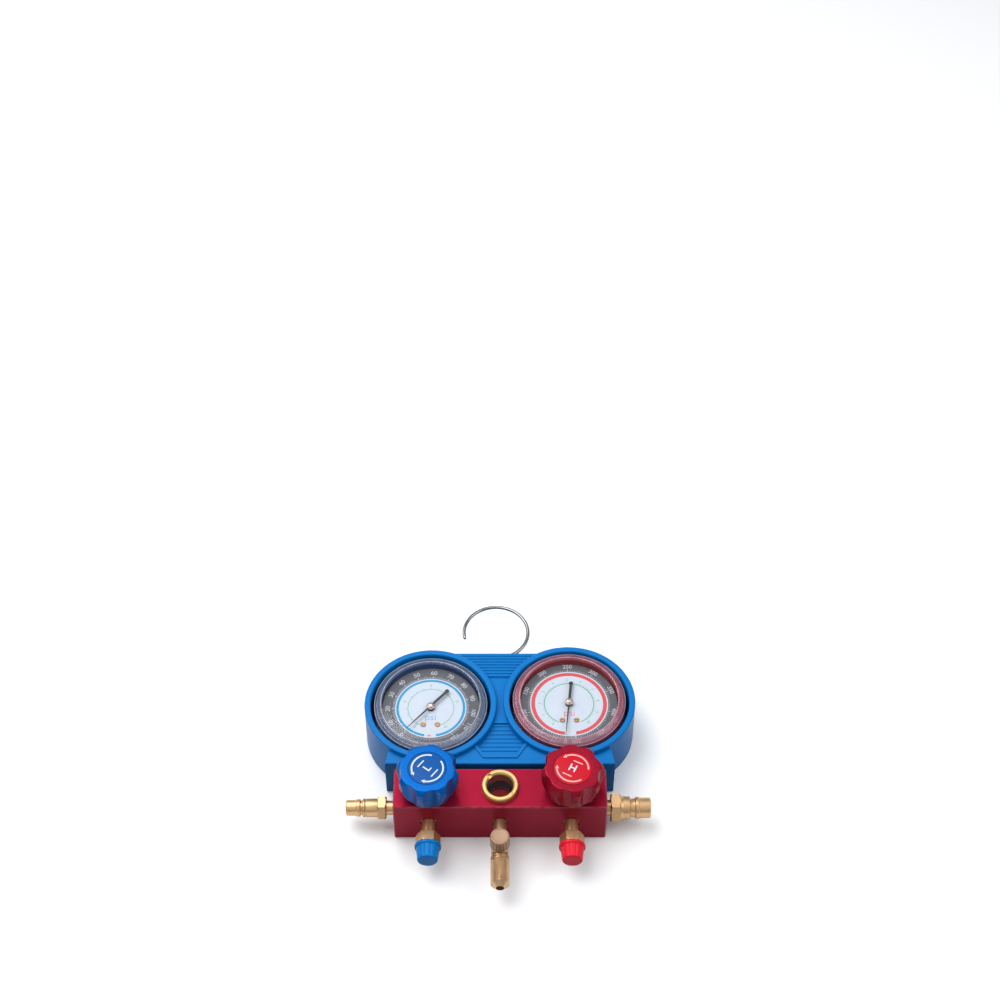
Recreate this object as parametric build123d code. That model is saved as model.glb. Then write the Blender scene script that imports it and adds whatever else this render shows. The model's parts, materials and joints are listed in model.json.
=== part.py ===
from build123d import *
import os
from math import acos, cos, degrees, pi, radians, sin, sqrt, tan

# Two-valve refrigerant manifold with a pair of pressure gauges.
# Frame: the origin is the middle of the block's back face. +X runs along the block to the
# high side, +Y up through the gauges to the hook, +Z out of the gauge faces. Millimetres.

os.makedirs("parts", exist_ok=True)

# ---- clearances ----
RUN = 0.05                # radial clearance of a shaft, thread or spigot in its bore
GAP = 0.3                 # air between neighbours that move past each other

# ---- manifold block ----
BLOCK_LENGTH = 125.0
BLOCK_DEPTH = 27.0        # along Y
BLOCK_HEIGHT = 33.0       # along Z, back face to front face
BLOCK_EDGE = 0.6
STATION = 42.0            # distance of each valve, gauge and hose port from the middle
TAP_RADIUS = 4.9          # pipe-thread holes for the gauges and hose fittings
TAP_DEPTH = 6.2
PASSAGE_RADIUS = 2.2
GALLERY_Z = 5.5           # height of the common gallery over the back face
GALLERY_RADIUS = 2.0
PLUG_RADIUS = 2.6
PLUG_LENGTH = 5.0

# ---- valves ----
VALVE_BORE_RADIUS = 7.0
SEAT_DEPTH = 19.0         # from the front face down to the seat
SEAT_RADIUS = 3.4
SEAT_THICKNESS = 2.0
PISTON_RADIUS = 4.4
PISTON_LENGTH = 5.0
SPIGOT_RADIUS = 2.0       # stem tip that turns in the piston
SPIGOT_LENGTH = 4.0
STEM_THREAD_RADIUS = 5.0
STEM_THREAD_LENGTH = 4.7
STEM_NECK_RADIUS = 4.2
VALVE_LIFT = 3.0          # three turns of a 1 mm thread
ORING_SECTION = 0.58      # radius of the O-ring's section
SQUARE = 5.8              # across the flats of the stem's driving square
SQUARE_LENGTH = 6.3
BONNET_THREAD_LENGTH = 10.0
BONNET_ACROSS = 17.0
BONNET_HEAD = 3.2

# ---- handwheels ----
WHEEL_RADIUS = 18.3       # over the lobes
WHEEL_FACE_RADIUS = 16.0
WHEEL_FOOT_RADIUS = 16.3
WHEEL_HEIGHT = 17.5
WHEEL_BEVEL = 2.3
LOBES = 8
SCALLOP_RADIUS = 6.6
SCALLOP_DEPTH = 3.1
WHEEL_CAVITY_RADIUS = 12.5
WHEEL_CAVITY_DEPTH = 5.5
WHEEL_HUB = 6.8           # thickness of the web that sits on the stem
BADGE_RADIUS = 11.0
BADGE_THICKNESS = 0.5
BADGE_SINK = 0.1          # how far the badge lies below the wheel's face
SCREW_RADIUS = 2.0
SCREW_HEAD_RADIUS = 3.6
SCREW_HEAD_HEIGHT = 2.6
SCREW_ENGAGEMENT = 8.0
LOBE_PHASE = {"low": 32.5, "high": 7.0}

# ---- gauges: heights are measured from the socket's axis ----
CASE_RADIUS = 33.0
CASE_WALL = 0.8
CASE_BACK = -8.5
CASE_FRONT = 13.4
CASE_BEAD = 0.5
LENS_WALL = 1.25
LENS_RADIUS = CASE_RADIUS + RUN + LENS_WALL
LENS_SKIRT = 8.0          # height at which the lens skirt ends
LENS_SHOULDER = 15.2
LENS_FACE = 18.0
LENS_SLOPE = 3.3
LENS_THICKNESS = 2.0
DIAL_RADIUS = CASE_RADIUS - 3.6
DIAL_HEIGHT = 10.8
DIAL_THICKNESS = 0.7
DIAL_BORE = 2.4
DIAL_SCREW_X = 4.3
DIAL_SCREW_Y = -12.2
DIAL_SCREW_RADIUS = 0.8
DIAL_SCREW_HEAD = 1.6
POINTER_HEIGHT = 13.4
POINTER_THICKNESS = 0.4
POINTER_HUB_RADIUS = 2.5
POINTER_HUB_HEIGHT = 1.9
POINTER_TIP = {"low": 21.5, "high": 24.5}
POINTER_TAIL = {"low": 14.6, "high": 13.7}
POINTER_REST = {"low": 228.5, "high": 264.0}   # direction of the tip with no pressure

# ---- gauge socket ----
SOCKET_HALF_WIDTH = 8.0
SOCKET_HALF_HEIGHT = 5.0
SOCKET_LOW = 2.5 - CASE_RADIUS   # outer end of the block inside the case
SOCKET_HIGH = SOCKET_LOW + 11.0
SOCKET_NECK_RADIUS = 6.0
SOCKET_ACROSS = 14.0
LEDGE_HALF_WIDTH = 4.0
LEDGE_HIGH = -8.0
LEDGE_THICKNESS = 3.0

# ---- gauge movement ----
TUBE_RADIUS = CASE_RADIUS - 11.0  # middle line of the C-shaped tube
TUBE_WIDTH = 2.4
TUBE_DEPTH = 8.0
TUBE_TIP = -20.0          # direction of the free end
TUBE_ROOT = 262.0         # direction of the soldered end
LUG_RADIUS = TUBE_RADIUS - 4.5    # link pivot on the tube's tip
MODULE = 0.4
PINION_TEETH = 8
GEAR_RATIO = 8
ADDENDUM = 0.7            # in modules
DEDENDUM = 1.0
PRESSURE_ANGLE = 20.0
BACKLASH = 0.12
SECTOR_THICKNESS = 1.5
SECTOR_HEIGHT = -0.5
SECTOR_RIM = 1.6
SECTOR_HUB = 2.3
SECTOR_FIRST = 40.0       # directions that bound the toothed arc, seen from its pivot
SECTOR_LAST = 101.0
TAIL_LENGTH = 8.0
SHAFT_RADIUS = 0.8
PLATE_THICKNESS = 1.2
PLATE_HALF_WIDTH = 6.0
PLATE_REACH = 7.5         # where the upper pillar stands, beyond the pinion
LOWER_PLATE = -4.0
UPPER_PLATE = 4.5
PILLAR_RADIUS = 1.0
LINK_HEIGHT = -2.1
LINK_THICKNESS = 1.3
LINK_EYE = 1.5
PIN_RADIUS = 0.6
SPRING_INNER = 1.7
SPRING_OUTER = 3.9
SPRING_TURNS = 2.5
SPRING_STRIP = 0.22
SPRING_HEIGHT = 2.6
SPRING_DEPTH = 0.8

# ---- housing ----
LIP_GAP = 2.0             # air between a lens and the mouth of its pocket
LIP_WIDTH = 3.7
LIP_RADIUS = LENS_RADIUS + LIP_GAP
SHELL_RADIUS = LIP_RADIUS + LIP_WIDTH
SHELL_WALL = 2.8
SHELL_ROUND = 0.8         # rounding of the plain face's outer edge
SHELL_FACE = 14.0         # height of the plain face over the socket's axis
SHELL_ROOF = 3.0
LIP_TOP = 17.5
LIP_DEPTH = 3.5
LIP_ROUND = 0.9
SHELL_STANDOFF = 5.0      # gap between the block and the skirt
SKIRT_WALL = 2.5
SKIRT_WAIST = STATION + 22.0
SKIRT_WAIST_Y = 42.0
SKIRT_FOOT = STATION + 26.3
RING_FOOT = 1.5           # lowest point of the low ring over the skirt's edge
RING_RISE = {"low": 0.0, "high": 2.4}      # the high ring stands a little further up
GAUGE_SHIFT = {"low": 0.4, "high": 1.2}    # each gauge above the middle of its ring
PANEL_EDGE = 1.4          # plain border above the ribbed grip panel
PANEL_SPAN = 17.6
PANEL_RISE = 0.6
RIB_PITCH = 2.05
RIB_WIDTH = 1.0
RIB_RISE = 0.5
RECESS_TOP = 47.6
RECESS_TOP_HALF = 8.0
RECESS_WIDE = 36.0
RECESS_WIDE_HALF = 17.0
RECESS_LOW = 24.2
RECESS_LOW_HALF = 9.2
RECESS_DEPTH = 1.2
RECESS_RIBS = 8
BEAD_WIDTH = 1.7
BEAD_RISE = 0.8
COVER_THICKNESS = 3.0
COVER_EDGE = 0.8
PAD_RADIUS = 20.0
PAD_WIDTH = 2.0
BOSS_RADIUS = 3.2
COVER_SCREW_RADIUS = 1.4
COVER_SCREW_LENGTH = 10.0
COVER_SCREW_HEAD = 2.6
COVER_SCREW_SINK = 1.9

# ---- hook ----
WIRE_RADIUS = 1.15
HOOK_X = -2.5             # middle of the hook's bow
HOOK_RISE = 26.4          # middle of the bow above the housing
HOOK_RADIUS = 20.2
HOOK_TIP = 195.0          # direction of the free end
HOOK_TURN = -70.0         # direction where the bow turns back to the shank
HOOK_BOSS_RADIUS = 4.0
HOOK_BOSS_LENGTH = 8.0
HOOK_DEPTH = 12.0         # how far the shank reaches into the housing
RETAINER_RADIUS = 3.4
RETAINER_THICKNESS = 1.2

# ---- hose ports, centre port and posts ----
SHANK_RADIUS = 4.85
SHANK_LENGTH = 6.0
FLARE_RADIUS = 5.55       # crest of the male flare thread
FLARE_BORE = 2.4
PORT_NECK_RADIUS = 3.8
PORT_NECK = 8.2
PORT_ACROSS = 12.5
PORT_HEX = 6.8
PORT_THREAD = 7.8
PORT_NOSE = 1.4
CAP_FLANGE_RADIUS = 7.75
CAP_FLANGE = 2.0
CAP_RADIUS = 6.9
CAP_END_RADIUS = 5.9
CAP_END = 1.3
CAP_FLUTES = 10
FLUTE_RADIUS = 1.3
CENTRE_NECK = 12.0
TEE_RADIUS = 5.2
TEE_OFFSET = 17.5         # stub axis below the block
TEE_LOW = -6.0
TEE_HIGH = 4.6
STUB_RADIUS = 3.85
STUB_HIGH = 12.6
STUB_COLLAR_RADIUS = 5.5
STUB_COLLAR = 1.4
STUB_BORE = 2.5
STUB_CAP_RADIUS = 5.7
STUB_CAP_HEIGHT = 8.0
STUB_CAP_TOP = 1.2
KNURLS = 18
KNURL_RADIUS = 0.5
CENTRE_COLLAR = 24.5      # where the outlet's thread starts, from the block
CENTRE_THREAD = 17.0
CENTRE_NOSE = 2.0
POST_Y = -1.6
POST_Z = 14.0
POST_SHANK_RADIUS = 4.0
POST_SHANK = 8.0
LOW_POST_ACROSS = 13.0
LOW_POST_NECK = 4.7
LOW_POST_RADIUS = 5.45
LOW_POST_LENGTH = 28.6
HIGH_POST_ACROSS = 16.0
HIGH_POST_NECK = 2.9
HIGH_POST_RADIUS = 6.75
HIGH_POST_LENGTH = 26.6
POST_BORE = 3.0
POST_BORE_DEPTH = 9.0

# ---- sight glass ----
SIGHT_BORE = 9.6
SIGHT_DEPTH = 9.0
SIGHT_CHAMBER = 6.5
SIGHT_RING_RADIUS = 10.8
SIGHT_WINDOW = 7.7
SIGHT_RING_HEIGHT = 3.6
SIGHT_GLASS = 4.0         # thickness of the glass's flange
SIGHT_SINK = 1.4          # how far the glass lies below the ring's face
SIGHT_SEAL = 1.0
SPANNER_NOTCH = 2.6
SPANNER_DEPTH = 1.3
SPANNER_ANGLE = 135.0

# ---- places that follow from the sizes above ----
PORT_Z = BLOCK_HEIGHT / 2
SIDES = (("low", -1), ("high", 1))
SHELL_BOTTOM = BLOCK_DEPTH / 2 + SHELL_STANDOFF
RING_Y = {side: SHELL_BOTTOM + RING_FOOT + SHELL_RADIUS + RING_RISE[side] for side, _ in SIDES}
GAUGE_Y = {side: RING_Y[side] + GAUGE_SHIFT[side] for side, _ in SIDES}
SHELL_TOP = RING_Y["low"] + SHELL_RADIUS
PANEL_HIGH = SHELL_TOP - PANEL_EDGE
PANEL_LOW = PANEL_HIGH - PANEL_SPAN
HOOK_Y = SHELL_TOP + HOOK_RISE
HOOK_END = SHELL_TOP - HOOK_DEPTH
SHELL_FACE_Z = PORT_Z + SHELL_FACE
CAVITY_Z = SHELL_FACE_Z - SHELL_ROOF
LIP_Z = PORT_Z + LIP_TOP
POCKET_RADIUS = SHELL_RADIUS - SHELL_WALL
PINION_RADIUS = MODULE * PINION_TEETH / 2
SECTOR_RADIUS = PINION_RADIUS * GEAR_RATIO
SECTOR_Y = -(PINION_RADIUS + SECTOR_RADIUS)
HUB_HEIGHT = WHEEL_CAVITY_DEPTH + BONNET_HEAD + GAP
WHEEL_LOW = BONNET_HEAD + GAP
WHEEL_TOP = WHEEL_LOW + WHEEL_HEIGHT
BADGE_FLOOR = WHEEL_TOP - BADGE_SINK - BADGE_THICKNESS
FACE_UP = (0, 0, 1)


# ---- shared shapes ----
def drum(radius, low, high):
    """Cylinder about Z between two heights."""
    lift = (Align.CENTER, Align.CENTER, Align.MIN)
    return Pos(0, 0, low) * Cylinder(radius, high - low, align=lift)


def ring(outer, inner, low, high):
    return drum(outer, low, high) - drum(inner, low - 1, high + 1)


def turned(*points):
    """Solid of revolution about Z from (radius, height) points."""
    return revolve(Plane.XZ * make_face(Polyline(*points, close=True)), Axis.Z)


def hexagon(across, low, high):
    """Wrench hexagon about Z with its corners turned off at both ends."""
    corner = across / sqrt(3)
    drop = corner - across / 2
    bar = Pos(0, 0, low) * extrude(RegularPolygon(across / 2, 6, major_radius=False), high - low)
    slope = drop * tan(radians(30))
    return bar & turned((0, low), (corner - drop, low), (corner, low + slope),
                        (corner, high - slope), (corner - drop, high), (0, high))


def slab(x, y, z):
    """Box between (low, high) pairs."""
    middle = [(low + high) / 2 for low, high in (x, y, z)]
    return Pos(*middle) * Box(x[1] - x[0], y[1] - y[0], z[1] - z[0])


def around(shape, count, phase=0.0):
    """Copies of a shape spaced evenly about Z."""
    return [Rot(0, 0, phase + 360 * turn / count) * shape for turn in range(count)]


def along(origin, direction, up=FACE_UP):
    """Place for a fitting modelled about Z whose far end points along direction."""
    return Plane(origin=origin, x_dir=up, z_dir=direction)


def polar(radius, angle):
    return radius * cos(radians(angle)), radius * sin(radians(angle))


def save(name, shape):
    export_step(shape, f"parts/{name}.step")


# ---- manifold block ----
def manifold_block():
    block = Pos(0, 0, BLOCK_HEIGHT / 2) * Box(BLOCK_LENGTH, BLOCK_DEPTH, BLOCK_HEIGHT)
    block = chamfer(block.edges(), BLOCK_EDGE)
    half = BLOCK_DEPTH / 2
    for _, side in SIDES:
        valve = drum(VALVE_BORE_RADIUS, BLOCK_HEIGHT - SEAT_DEPTH, BLOCK_HEIGHT + 1)
        valve += drum(PASSAGE_RADIUS, GALLERY_Z, BLOCK_HEIGHT - SEAT_DEPTH + 1)
        block -= Pos(side * STATION, 0, 0) * valve
        for end in (-1, 1):
            tap = drum(TAP_RADIUS, -TAP_DEPTH, 1) + drum(PASSAGE_RADIUS, -half, 0)
            block -= along((side * STATION, end * half, PORT_Z), (0, end, 0)) * tap
        post = drum(POST_SHANK_RADIUS + RUN, -POST_SHANK - GAP, 1)
        block -= along((side * BLOCK_LENGTH / 2, POST_Y, POST_Z), (side, 0, 0)) * post
    return block - sight_bore() - centre_tap() - gallery()


def sight_bore():
    shoulder = BLOCK_HEIGHT - SIGHT_DEPTH
    return drum(SIGHT_BORE, shoulder, BLOCK_HEIGHT + 1) + drum(SIGHT_CHAMBER, GALLERY_Z, shoulder + 1)


def centre_tap():
    tap = drum(TAP_RADIUS, -TAP_DEPTH, 1) + drum(PASSAGE_RADIUS, -BLOCK_DEPTH / 2, 0)
    return along((0, -BLOCK_DEPTH / 2, PORT_Z), (0, -1, 0)) * tap


def gallery():
    """Common passage drilled from the low end, with a wider mouth for its plug."""
    bore = drum(GALLERY_RADIUS, 0, BLOCK_LENGTH / 2 + STATION + PASSAGE_RADIUS)
    mouth = drum(PLUG_RADIUS + RUN, -1, PLUG_LENGTH)
    return along((-BLOCK_LENGTH / 2, 0, GALLERY_Z), (1, 0, 0)) * (bore + mouth)


def gallery_plug():
    plug = chamfer(drum(PLUG_RADIUS, 0, PLUG_LENGTH).edges(), 0.3)
    plug -= Pos(0, 0, 0.9) * extrude(RegularPolygon(1.3, 6, major_radius=False), -2)
    return along((-BLOCK_LENGTH / 2, 0, GALLERY_Z), (1, 0, 0)) * plug


# ---- sight glass, modelled from the front face ----
def sight_ring():
    seat = -SIGHT_DEPTH + SIGHT_SEAL + SIGHT_GLASS
    body = turned((SIGHT_WINDOW, seat), (SIGHT_BORE - RUN, seat), (SIGHT_BORE - RUN, 0),
                  (SIGHT_RING_RADIUS, 0), (SIGHT_RING_RADIUS, SIGHT_RING_HEIGHT - 0.6),
                  (SIGHT_RING_RADIUS - 0.6, SIGHT_RING_HEIGHT),
                  (SIGHT_WINDOW + 0.9, SIGHT_RING_HEIGHT), (SIGHT_WINDOW, SIGHT_RING_HEIGHT - 0.9))
    reach = SIGHT_RING_RADIUS + 1
    floor = SIGHT_RING_HEIGHT - SPANNER_DEPTH
    slot = slab((-reach, reach), (-SPANNER_NOTCH / 2, SPANNER_NOTCH / 2), (floor, floor + 5))
    slot -= drum(SIGHT_WINDOW - 1, floor - 1, floor + 6)
    slot -= ring(reach + 2, SIGHT_RING_RADIUS - 0.9, floor - 1, floor + 6)
    return body - Rot(0, 0, SPANNER_ANGLE) * slot


def sight_glass():
    """Flanged glass: the ring clamps its flange, and its boss fills the window."""
    low = -SIGHT_DEPTH + SIGHT_SEAL
    flange = chamfer(drum(SIGHT_BORE - GAP, low, low + SIGHT_GLASS).edges(), 0.3)
    boss = drum(SIGHT_WINDOW - 2 * RUN, low + 1, SIGHT_RING_HEIGHT - SIGHT_SINK)
    return flange + chamfer(boss.edges().group_by(Axis.Z)[-1], 0.4)


def sight_seal():
    low = -SIGHT_DEPTH
    return ring(SIGHT_BORE - GAP, SIGHT_CHAMBER + GAP, low, low + SIGHT_SEAL)


# ---- valve, modelled from the front face ----
def bonnet():
    """Threaded gland the stem turns in: a thread below, a smooth O-ring bore above."""
    thread = VALVE_BORE_RADIUS - RUN
    body = turned((0, -BONNET_THREAD_LENGTH), (thread - 0.6, -BONNET_THREAD_LENGTH),
                  (thread, -BONNET_THREAD_LENGTH + 0.6), (thread, -0.4), (thread - 0.4, 0), (0, 0))
    body += hexagon(BONNET_ACROSS, 0, BONNET_HEAD)
    gland_floor = thread_top() + VALVE_LIFT + GAP
    body -= drum(STEM_THREAD_RADIUS, -BONNET_THREAD_LENGTH - 1, gland_floor)
    return body - drum(STEM_NECK_RADIUS, gland_floor - 1, BONNET_HEAD + 1)


def thread_top():
    """Height of the stem thread's upper end with the valve shut."""
    return -SEAT_DEPTH + SEAT_THICKNESS + PISTON_LENGTH + RUN + STEM_THREAD_LENGTH


def oring_height():
    return thread_top() + VALVE_LIFT + GAP + 3 * ORING_SECTION


def valve_stem():
    shoulder = -SEAT_DEPTH + SEAT_THICKNESS + PISTON_LENGTH + RUN
    body = drum(SPIGOT_RADIUS, shoulder - SPIGOT_LENGTH, shoulder + 1)
    body += chamfer(drum(STEM_THREAD_RADIUS - RUN, shoulder, thread_top()).edges(), 0.4)
    body += drum(STEM_NECK_RADIUS - RUN, thread_top(), HUB_HEIGHT)
    groove = STEM_NECK_RADIUS - RUN - 2 * ORING_SECTION
    middle = oring_height()
    body -= ring(STEM_NECK_RADIUS + 1, groove, middle - 1.2 * ORING_SECTION, middle + 1.2 * ORING_SECTION)
    square = slab((-SQUARE / 2, SQUARE / 2), (-SQUARE / 2, SQUARE / 2),
                  (HUB_HEIGHT, HUB_HEIGHT + SQUARE_LENGTH))
    body += square
    return body - drum(SCREW_RADIUS, HUB_HEIGHT + WHEEL_HUB - SCREW_ENGAGEMENT - GAP, WHEEL_TOP)


def stem_oring():
    middle = STEM_NECK_RADIUS - RUN - ORING_SECTION
    return Pos(0, 0, oring_height()) * Torus(middle, ORING_SECTION)


def piston():
    low = -SEAT_DEPTH + SEAT_THICKNESS
    body = chamfer(drum(PISTON_RADIUS, low, low + PISTON_LENGTH).edges(), 0.4)
    return body - drum(SPIGOT_RADIUS + RUN, low + PISTON_LENGTH - SPIGOT_LENGTH - GAP, 0)


def valve_seat():
    low = -SEAT_DEPTH
    return turned((0, low), (SEAT_RADIUS - 0.5, low), (SEAT_RADIUS, low + 0.5),
                  (SEAT_RADIUS, low + SEAT_THICKNESS), (0, low + SEAT_THICKNESS))


def handwheel(phase):
    """Lobed wheel: a tapering drum whose scallops leave eight finger lobes."""
    low = WHEEL_LOW
    body = turned((0, low), (WHEEL_FOOT_RADIUS - 0.6, low), (WHEEL_FOOT_RADIUS, low + 0.6),
                  (WHEEL_RADIUS, low + WHEEL_HEIGHT * 0.5), (WHEEL_RADIUS, WHEEL_TOP - WHEEL_BEVEL),
                  (WHEEL_FACE_RADIUS, WHEEL_TOP), (0, WHEEL_TOP))
    reach = WHEEL_RADIUS - SCALLOP_DEPTH + SCALLOP_RADIUS
    scallop = Pos(reach, 0, 0) * drum(SCALLOP_RADIUS, low - 1, WHEEL_TOP + 1)
    for cut in around(scallop, LOBES, phase + 180 / LOBES):
        body -= cut
    body -= turned((0, low - 1), (WHEEL_CAVITY_RADIUS + 0.8, low - 1), (WHEEL_CAVITY_RADIUS, low + 0.8),
                   (WHEEL_CAVITY_RADIUS, HUB_HEIGHT), (0, HUB_HEIGHT))
    body -= drum(SCREW_HEAD_RADIUS + GAP, HUB_HEIGHT + WHEEL_HUB, WHEEL_TOP + 1)
    body -= drum(BADGE_RADIUS + RUN, BADGE_FLOOR, WHEEL_TOP + 1)
    half = SQUARE / 2 + RUN
    return body - slab((-half, half), (-half, half), (HUB_HEIGHT - 1, HUB_HEIGHT + WHEEL_HUB + 1))


def badge():
    return drum(BADGE_RADIUS, BADGE_FLOOR, BADGE_FLOOR + BADGE_THICKNESS)


def handwheel_screw():
    seat = HUB_HEIGHT + WHEEL_HUB
    head = drum(SCREW_HEAD_RADIUS, seat, seat + SCREW_HEAD_HEIGHT)
    head = fillet(head.edges().group_by(Axis.Z)[-1], 0.7)
    socket = extrude(RegularPolygon(1.5, 6, major_radius=False), -1.5)
    head -= Pos(0, 0, seat + SCREW_HEAD_HEIGHT) * socket
    return head + drum(SCREW_RADIUS - RUN, seat - SCREW_ENGAGEMENT, seat + 0.5)


# ---- gauge, modelled about its own centre with heights from the socket's axis ----
def gauge_case():
    inner = CASE_RADIUS - CASE_WALL
    body = turned((0, CASE_BACK), (CASE_RADIUS - 2, CASE_BACK), (CASE_RADIUS, CASE_BACK + 2),
                  (CASE_RADIUS, CASE_FRONT), (inner, CASE_FRONT), (inner, CASE_BACK + 2 + CASE_WALL),
                  (inner - 2, CASE_BACK + CASE_WALL), (0, CASE_BACK + CASE_WALL))
    body += turned((inner + 0.1, LENS_SKIRT - 2.5), (CASE_RADIUS + CASE_BEAD, LENS_SKIRT - 2),
                   (CASE_RADIUS + CASE_BEAD, LENS_SKIRT - GAP - 0.2), (inner + 0.1, LENS_SKIRT - GAP))
    neck = drum(SOCKET_NECK_RADIUS + RUN, 0, CASE_RADIUS + 1)
    return body - along((0, 0, 0), (0, -1, 0)) * neck


def gauge_lens():
    inner = CASE_RADIUS + RUN
    under = LENS_FACE - LENS_THICKNESS
    return turned((inner, LENS_SKIRT), (LENS_RADIUS, LENS_SKIRT), (LENS_RADIUS, LENS_SHOULDER),
                  (LENS_RADIUS - LENS_SLOPE, LENS_FACE), (0, LENS_FACE), (0, under),
                  (LENS_RADIUS - LENS_SLOPE - 0.6, under), (inner, CASE_FRONT + GAP))


def dial():
    plate = ring(DIAL_RADIUS, DIAL_BORE, DIAL_HEIGHT, DIAL_HEIGHT + DIAL_THICKNESS)
    for end in (-1, 1):
        plate -= Pos(end * DIAL_SCREW_X, DIAL_SCREW_Y, 0) * drum(DIAL_SCREW_RADIUS, 0, LENS_FACE)
    return plate


def dial_screws():
    """The two cheese-head screws that hold one dial to its posts."""
    top = DIAL_HEIGHT + DIAL_THICKNESS
    head = chamfer(drum(DIAL_SCREW_HEAD, top, top + 0.7).edges().group_by(Axis.Z)[-1], 0.2)
    head -= slab((-2, 2), (-0.2, 0.2), (top + 0.4, top + 1))
    screw = head + drum(DIAL_SCREW_RADIUS - RUN, top - 3, top + 0.2)
    return [Pos(end * DIAL_SCREW_X, DIAL_SCREW_Y, 0) * screw for end in (-1, 1)]


def pointer(side):
    """Slender needle with a round-ended counterweight, turned to its zero direction."""
    tip, tail = POINTER_TIP[side], POINTER_TAIL[side]
    blade = make_face(Polyline((0, -0.65), (tip, -0.15), (tip, 0.15), (0, 0.65), close=True))
    blade += make_face(Polyline((0, -0.8), (-tail, -0.8), (-tail, 0.8), (0, 0.8), close=True))
    blade += Pos(-tail, 0) * Circle(1.35)
    body = Pos(0, 0, POINTER_HEIGHT) * extrude(blade, POINTER_THICKNESS)
    low = POINTER_HEIGHT - 0.3
    body += turned((0, low), (POINTER_HUB_RADIUS, low), (POINTER_HUB_RADIUS, low + 1.3),
                   (POINTER_HUB_RADIUS - 0.7, low + POINTER_HUB_HEIGHT), (0, low + POINTER_HUB_HEIGHT))
    body -= drum(SHAFT_RADIUS, low - 1, low + POINTER_HUB_HEIGHT + 1)
    return Rot(0, 0, POINTER_REST[side]) * body


def gauge_socket(gauge_y):
    """One brass piece: block inside the case, neck, wrench hexagon and pipe thread."""
    body = slab((-SOCKET_HALF_WIDTH, SOCKET_HALF_WIDTH), (SOCKET_LOW, SOCKET_HIGH),
                (-SOCKET_HALF_HEIGHT, SOCKET_HALF_HEIGHT))
    body += slab((-LEDGE_HALF_WIDTH, LEDGE_HALF_WIDTH), (SOCKET_HIGH - 2, LEDGE_HIGH),
                 (LOWER_PLATE - LEDGE_THICKNESS, LOWER_PLATE))
    hexagon_top = CASE_RADIUS + 0.6
    hexagon_end = gauge_y - SHELL_BOTTOM - SKIRT_WALL
    thread_end = gauge_y - BLOCK_DEPTH / 2 + SHANK_LENGTH
    stem = drum(SOCKET_NECK_RADIUS, -SOCKET_LOW, hexagon_top)
    stem += hexagon(SOCKET_ACROSS, hexagon_top, hexagon_end)
    stem += chamfer(drum(SHANK_RADIUS, hexagon_end, thread_end).edges().group_by(Axis.Z)[-1], 0.5)
    body += along((0, 0, 0), (0, -1, 0)) * stem
    body -= along((0, 0, 0), (0, -1, 0)) * drum(1.5, -SOCKET_HIGH + 3, thread_end + 1)
    return body - tube_arc(RUN, TUBE_ROOT - 40, TUBE_ROOT + 0.3)


def tube_arc(margin, start, end):
    """Stretch of the flattened tube between two directions, grown by a margin."""
    section = RectangleRounded(TUBE_WIDTH + 2 * margin, TUBE_DEPTH + 2 * margin, 1.1)
    face = Plane.XZ * Pos(TUBE_RADIUS, 0) * section
    return Rot(0, 0, start) * revolve(face, Axis.Z, revolution_arc=end - start)


def bourdon_tube():
    """C-shaped tube with its soldered tip block and the lug that works the link."""
    body = tube_arc(0, TUBE_TIP, TUBE_ROOT)
    half = TUBE_WIDTH / 2 + 0.4
    floor = -TUBE_DEPTH / 2 - 0.3
    block = slab((TUBE_RADIUS - half, TUBE_RADIUS + half), (-2.5, 0.3), (floor, -floor))
    lug = slab((LUG_RADIUS, TUBE_RADIUS), (-LINK_EYE, 0.3), (floor, LINK_HEIGHT - GAP))
    lug += Pos(LUG_RADIUS, 0, 0) * drum(LINK_EYE, floor, LINK_HEIGHT - GAP)
    lug -= Pos(LUG_RADIUS, 0, 0) * drum(PIN_RADIUS + RUN, floor - 1, LINK_HEIGHT)
    return body + Rot(0, 0, TUBE_TIP) * (block + lug)


def movement_frame():
    """Two plates riveted on two pillars, with the posts that carry the dial."""
    low, high = SOCKET_HIGH + GAP + PLATE_HALF_WIDTH, PLATE_REACH
    outline = SlotCenterToCenter(high - low, 2 * PLATE_HALF_WIDTH, rotation=90)
    plate = Pos(0, (high + low) / 2, 0) * extrude(outline, PLATE_THICKNESS)
    body = Pos(0, 0, LOWER_PLATE) * plate + Pos(0, 0, UPPER_PLATE) * plate
    for x, y in ((0, PLATE_REACH), (-3.4, SECTOR_Y - 2.2)):
        body += Pos(x, y, 0) * drum(PILLAR_RADIUS, LOWER_PLATE, UPPER_PLATE + 1)
    for end in (-1, 1):
        post = drum(DIAL_SCREW_HEAD, UPPER_PLATE, DIAL_HEIGHT)
        post -= drum(DIAL_SCREW_RADIUS, DIAL_HEIGHT - 3, DIAL_HEIGHT + 1)
        body += Pos(end * DIAL_SCREW_X, DIAL_SCREW_Y, 0) * post
    for y in (0, SECTOR_Y):
        body -= Pos(0, y, 0) * drum(SHAFT_RADIUS + RUN, LOWER_PLATE - 1, UPPER_PLATE + 3)
    return body


def involute(angle):
    return tan(angle) - angle


def half_angle(radius, pitch_radius, teeth):
    """Half the angle that a tooth covers at a radius, in radians."""
    base = pitch_radius * cos(radians(PRESSURE_ANGLE))
    at_pitch = pi / (2 * teeth) - BACKLASH / (2 * pitch_radius) / 2
    here = acos(min(1.0, base / radius))
    return at_pitch + involute(radians(PRESSURE_ANGLE)) - involute(here)


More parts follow.
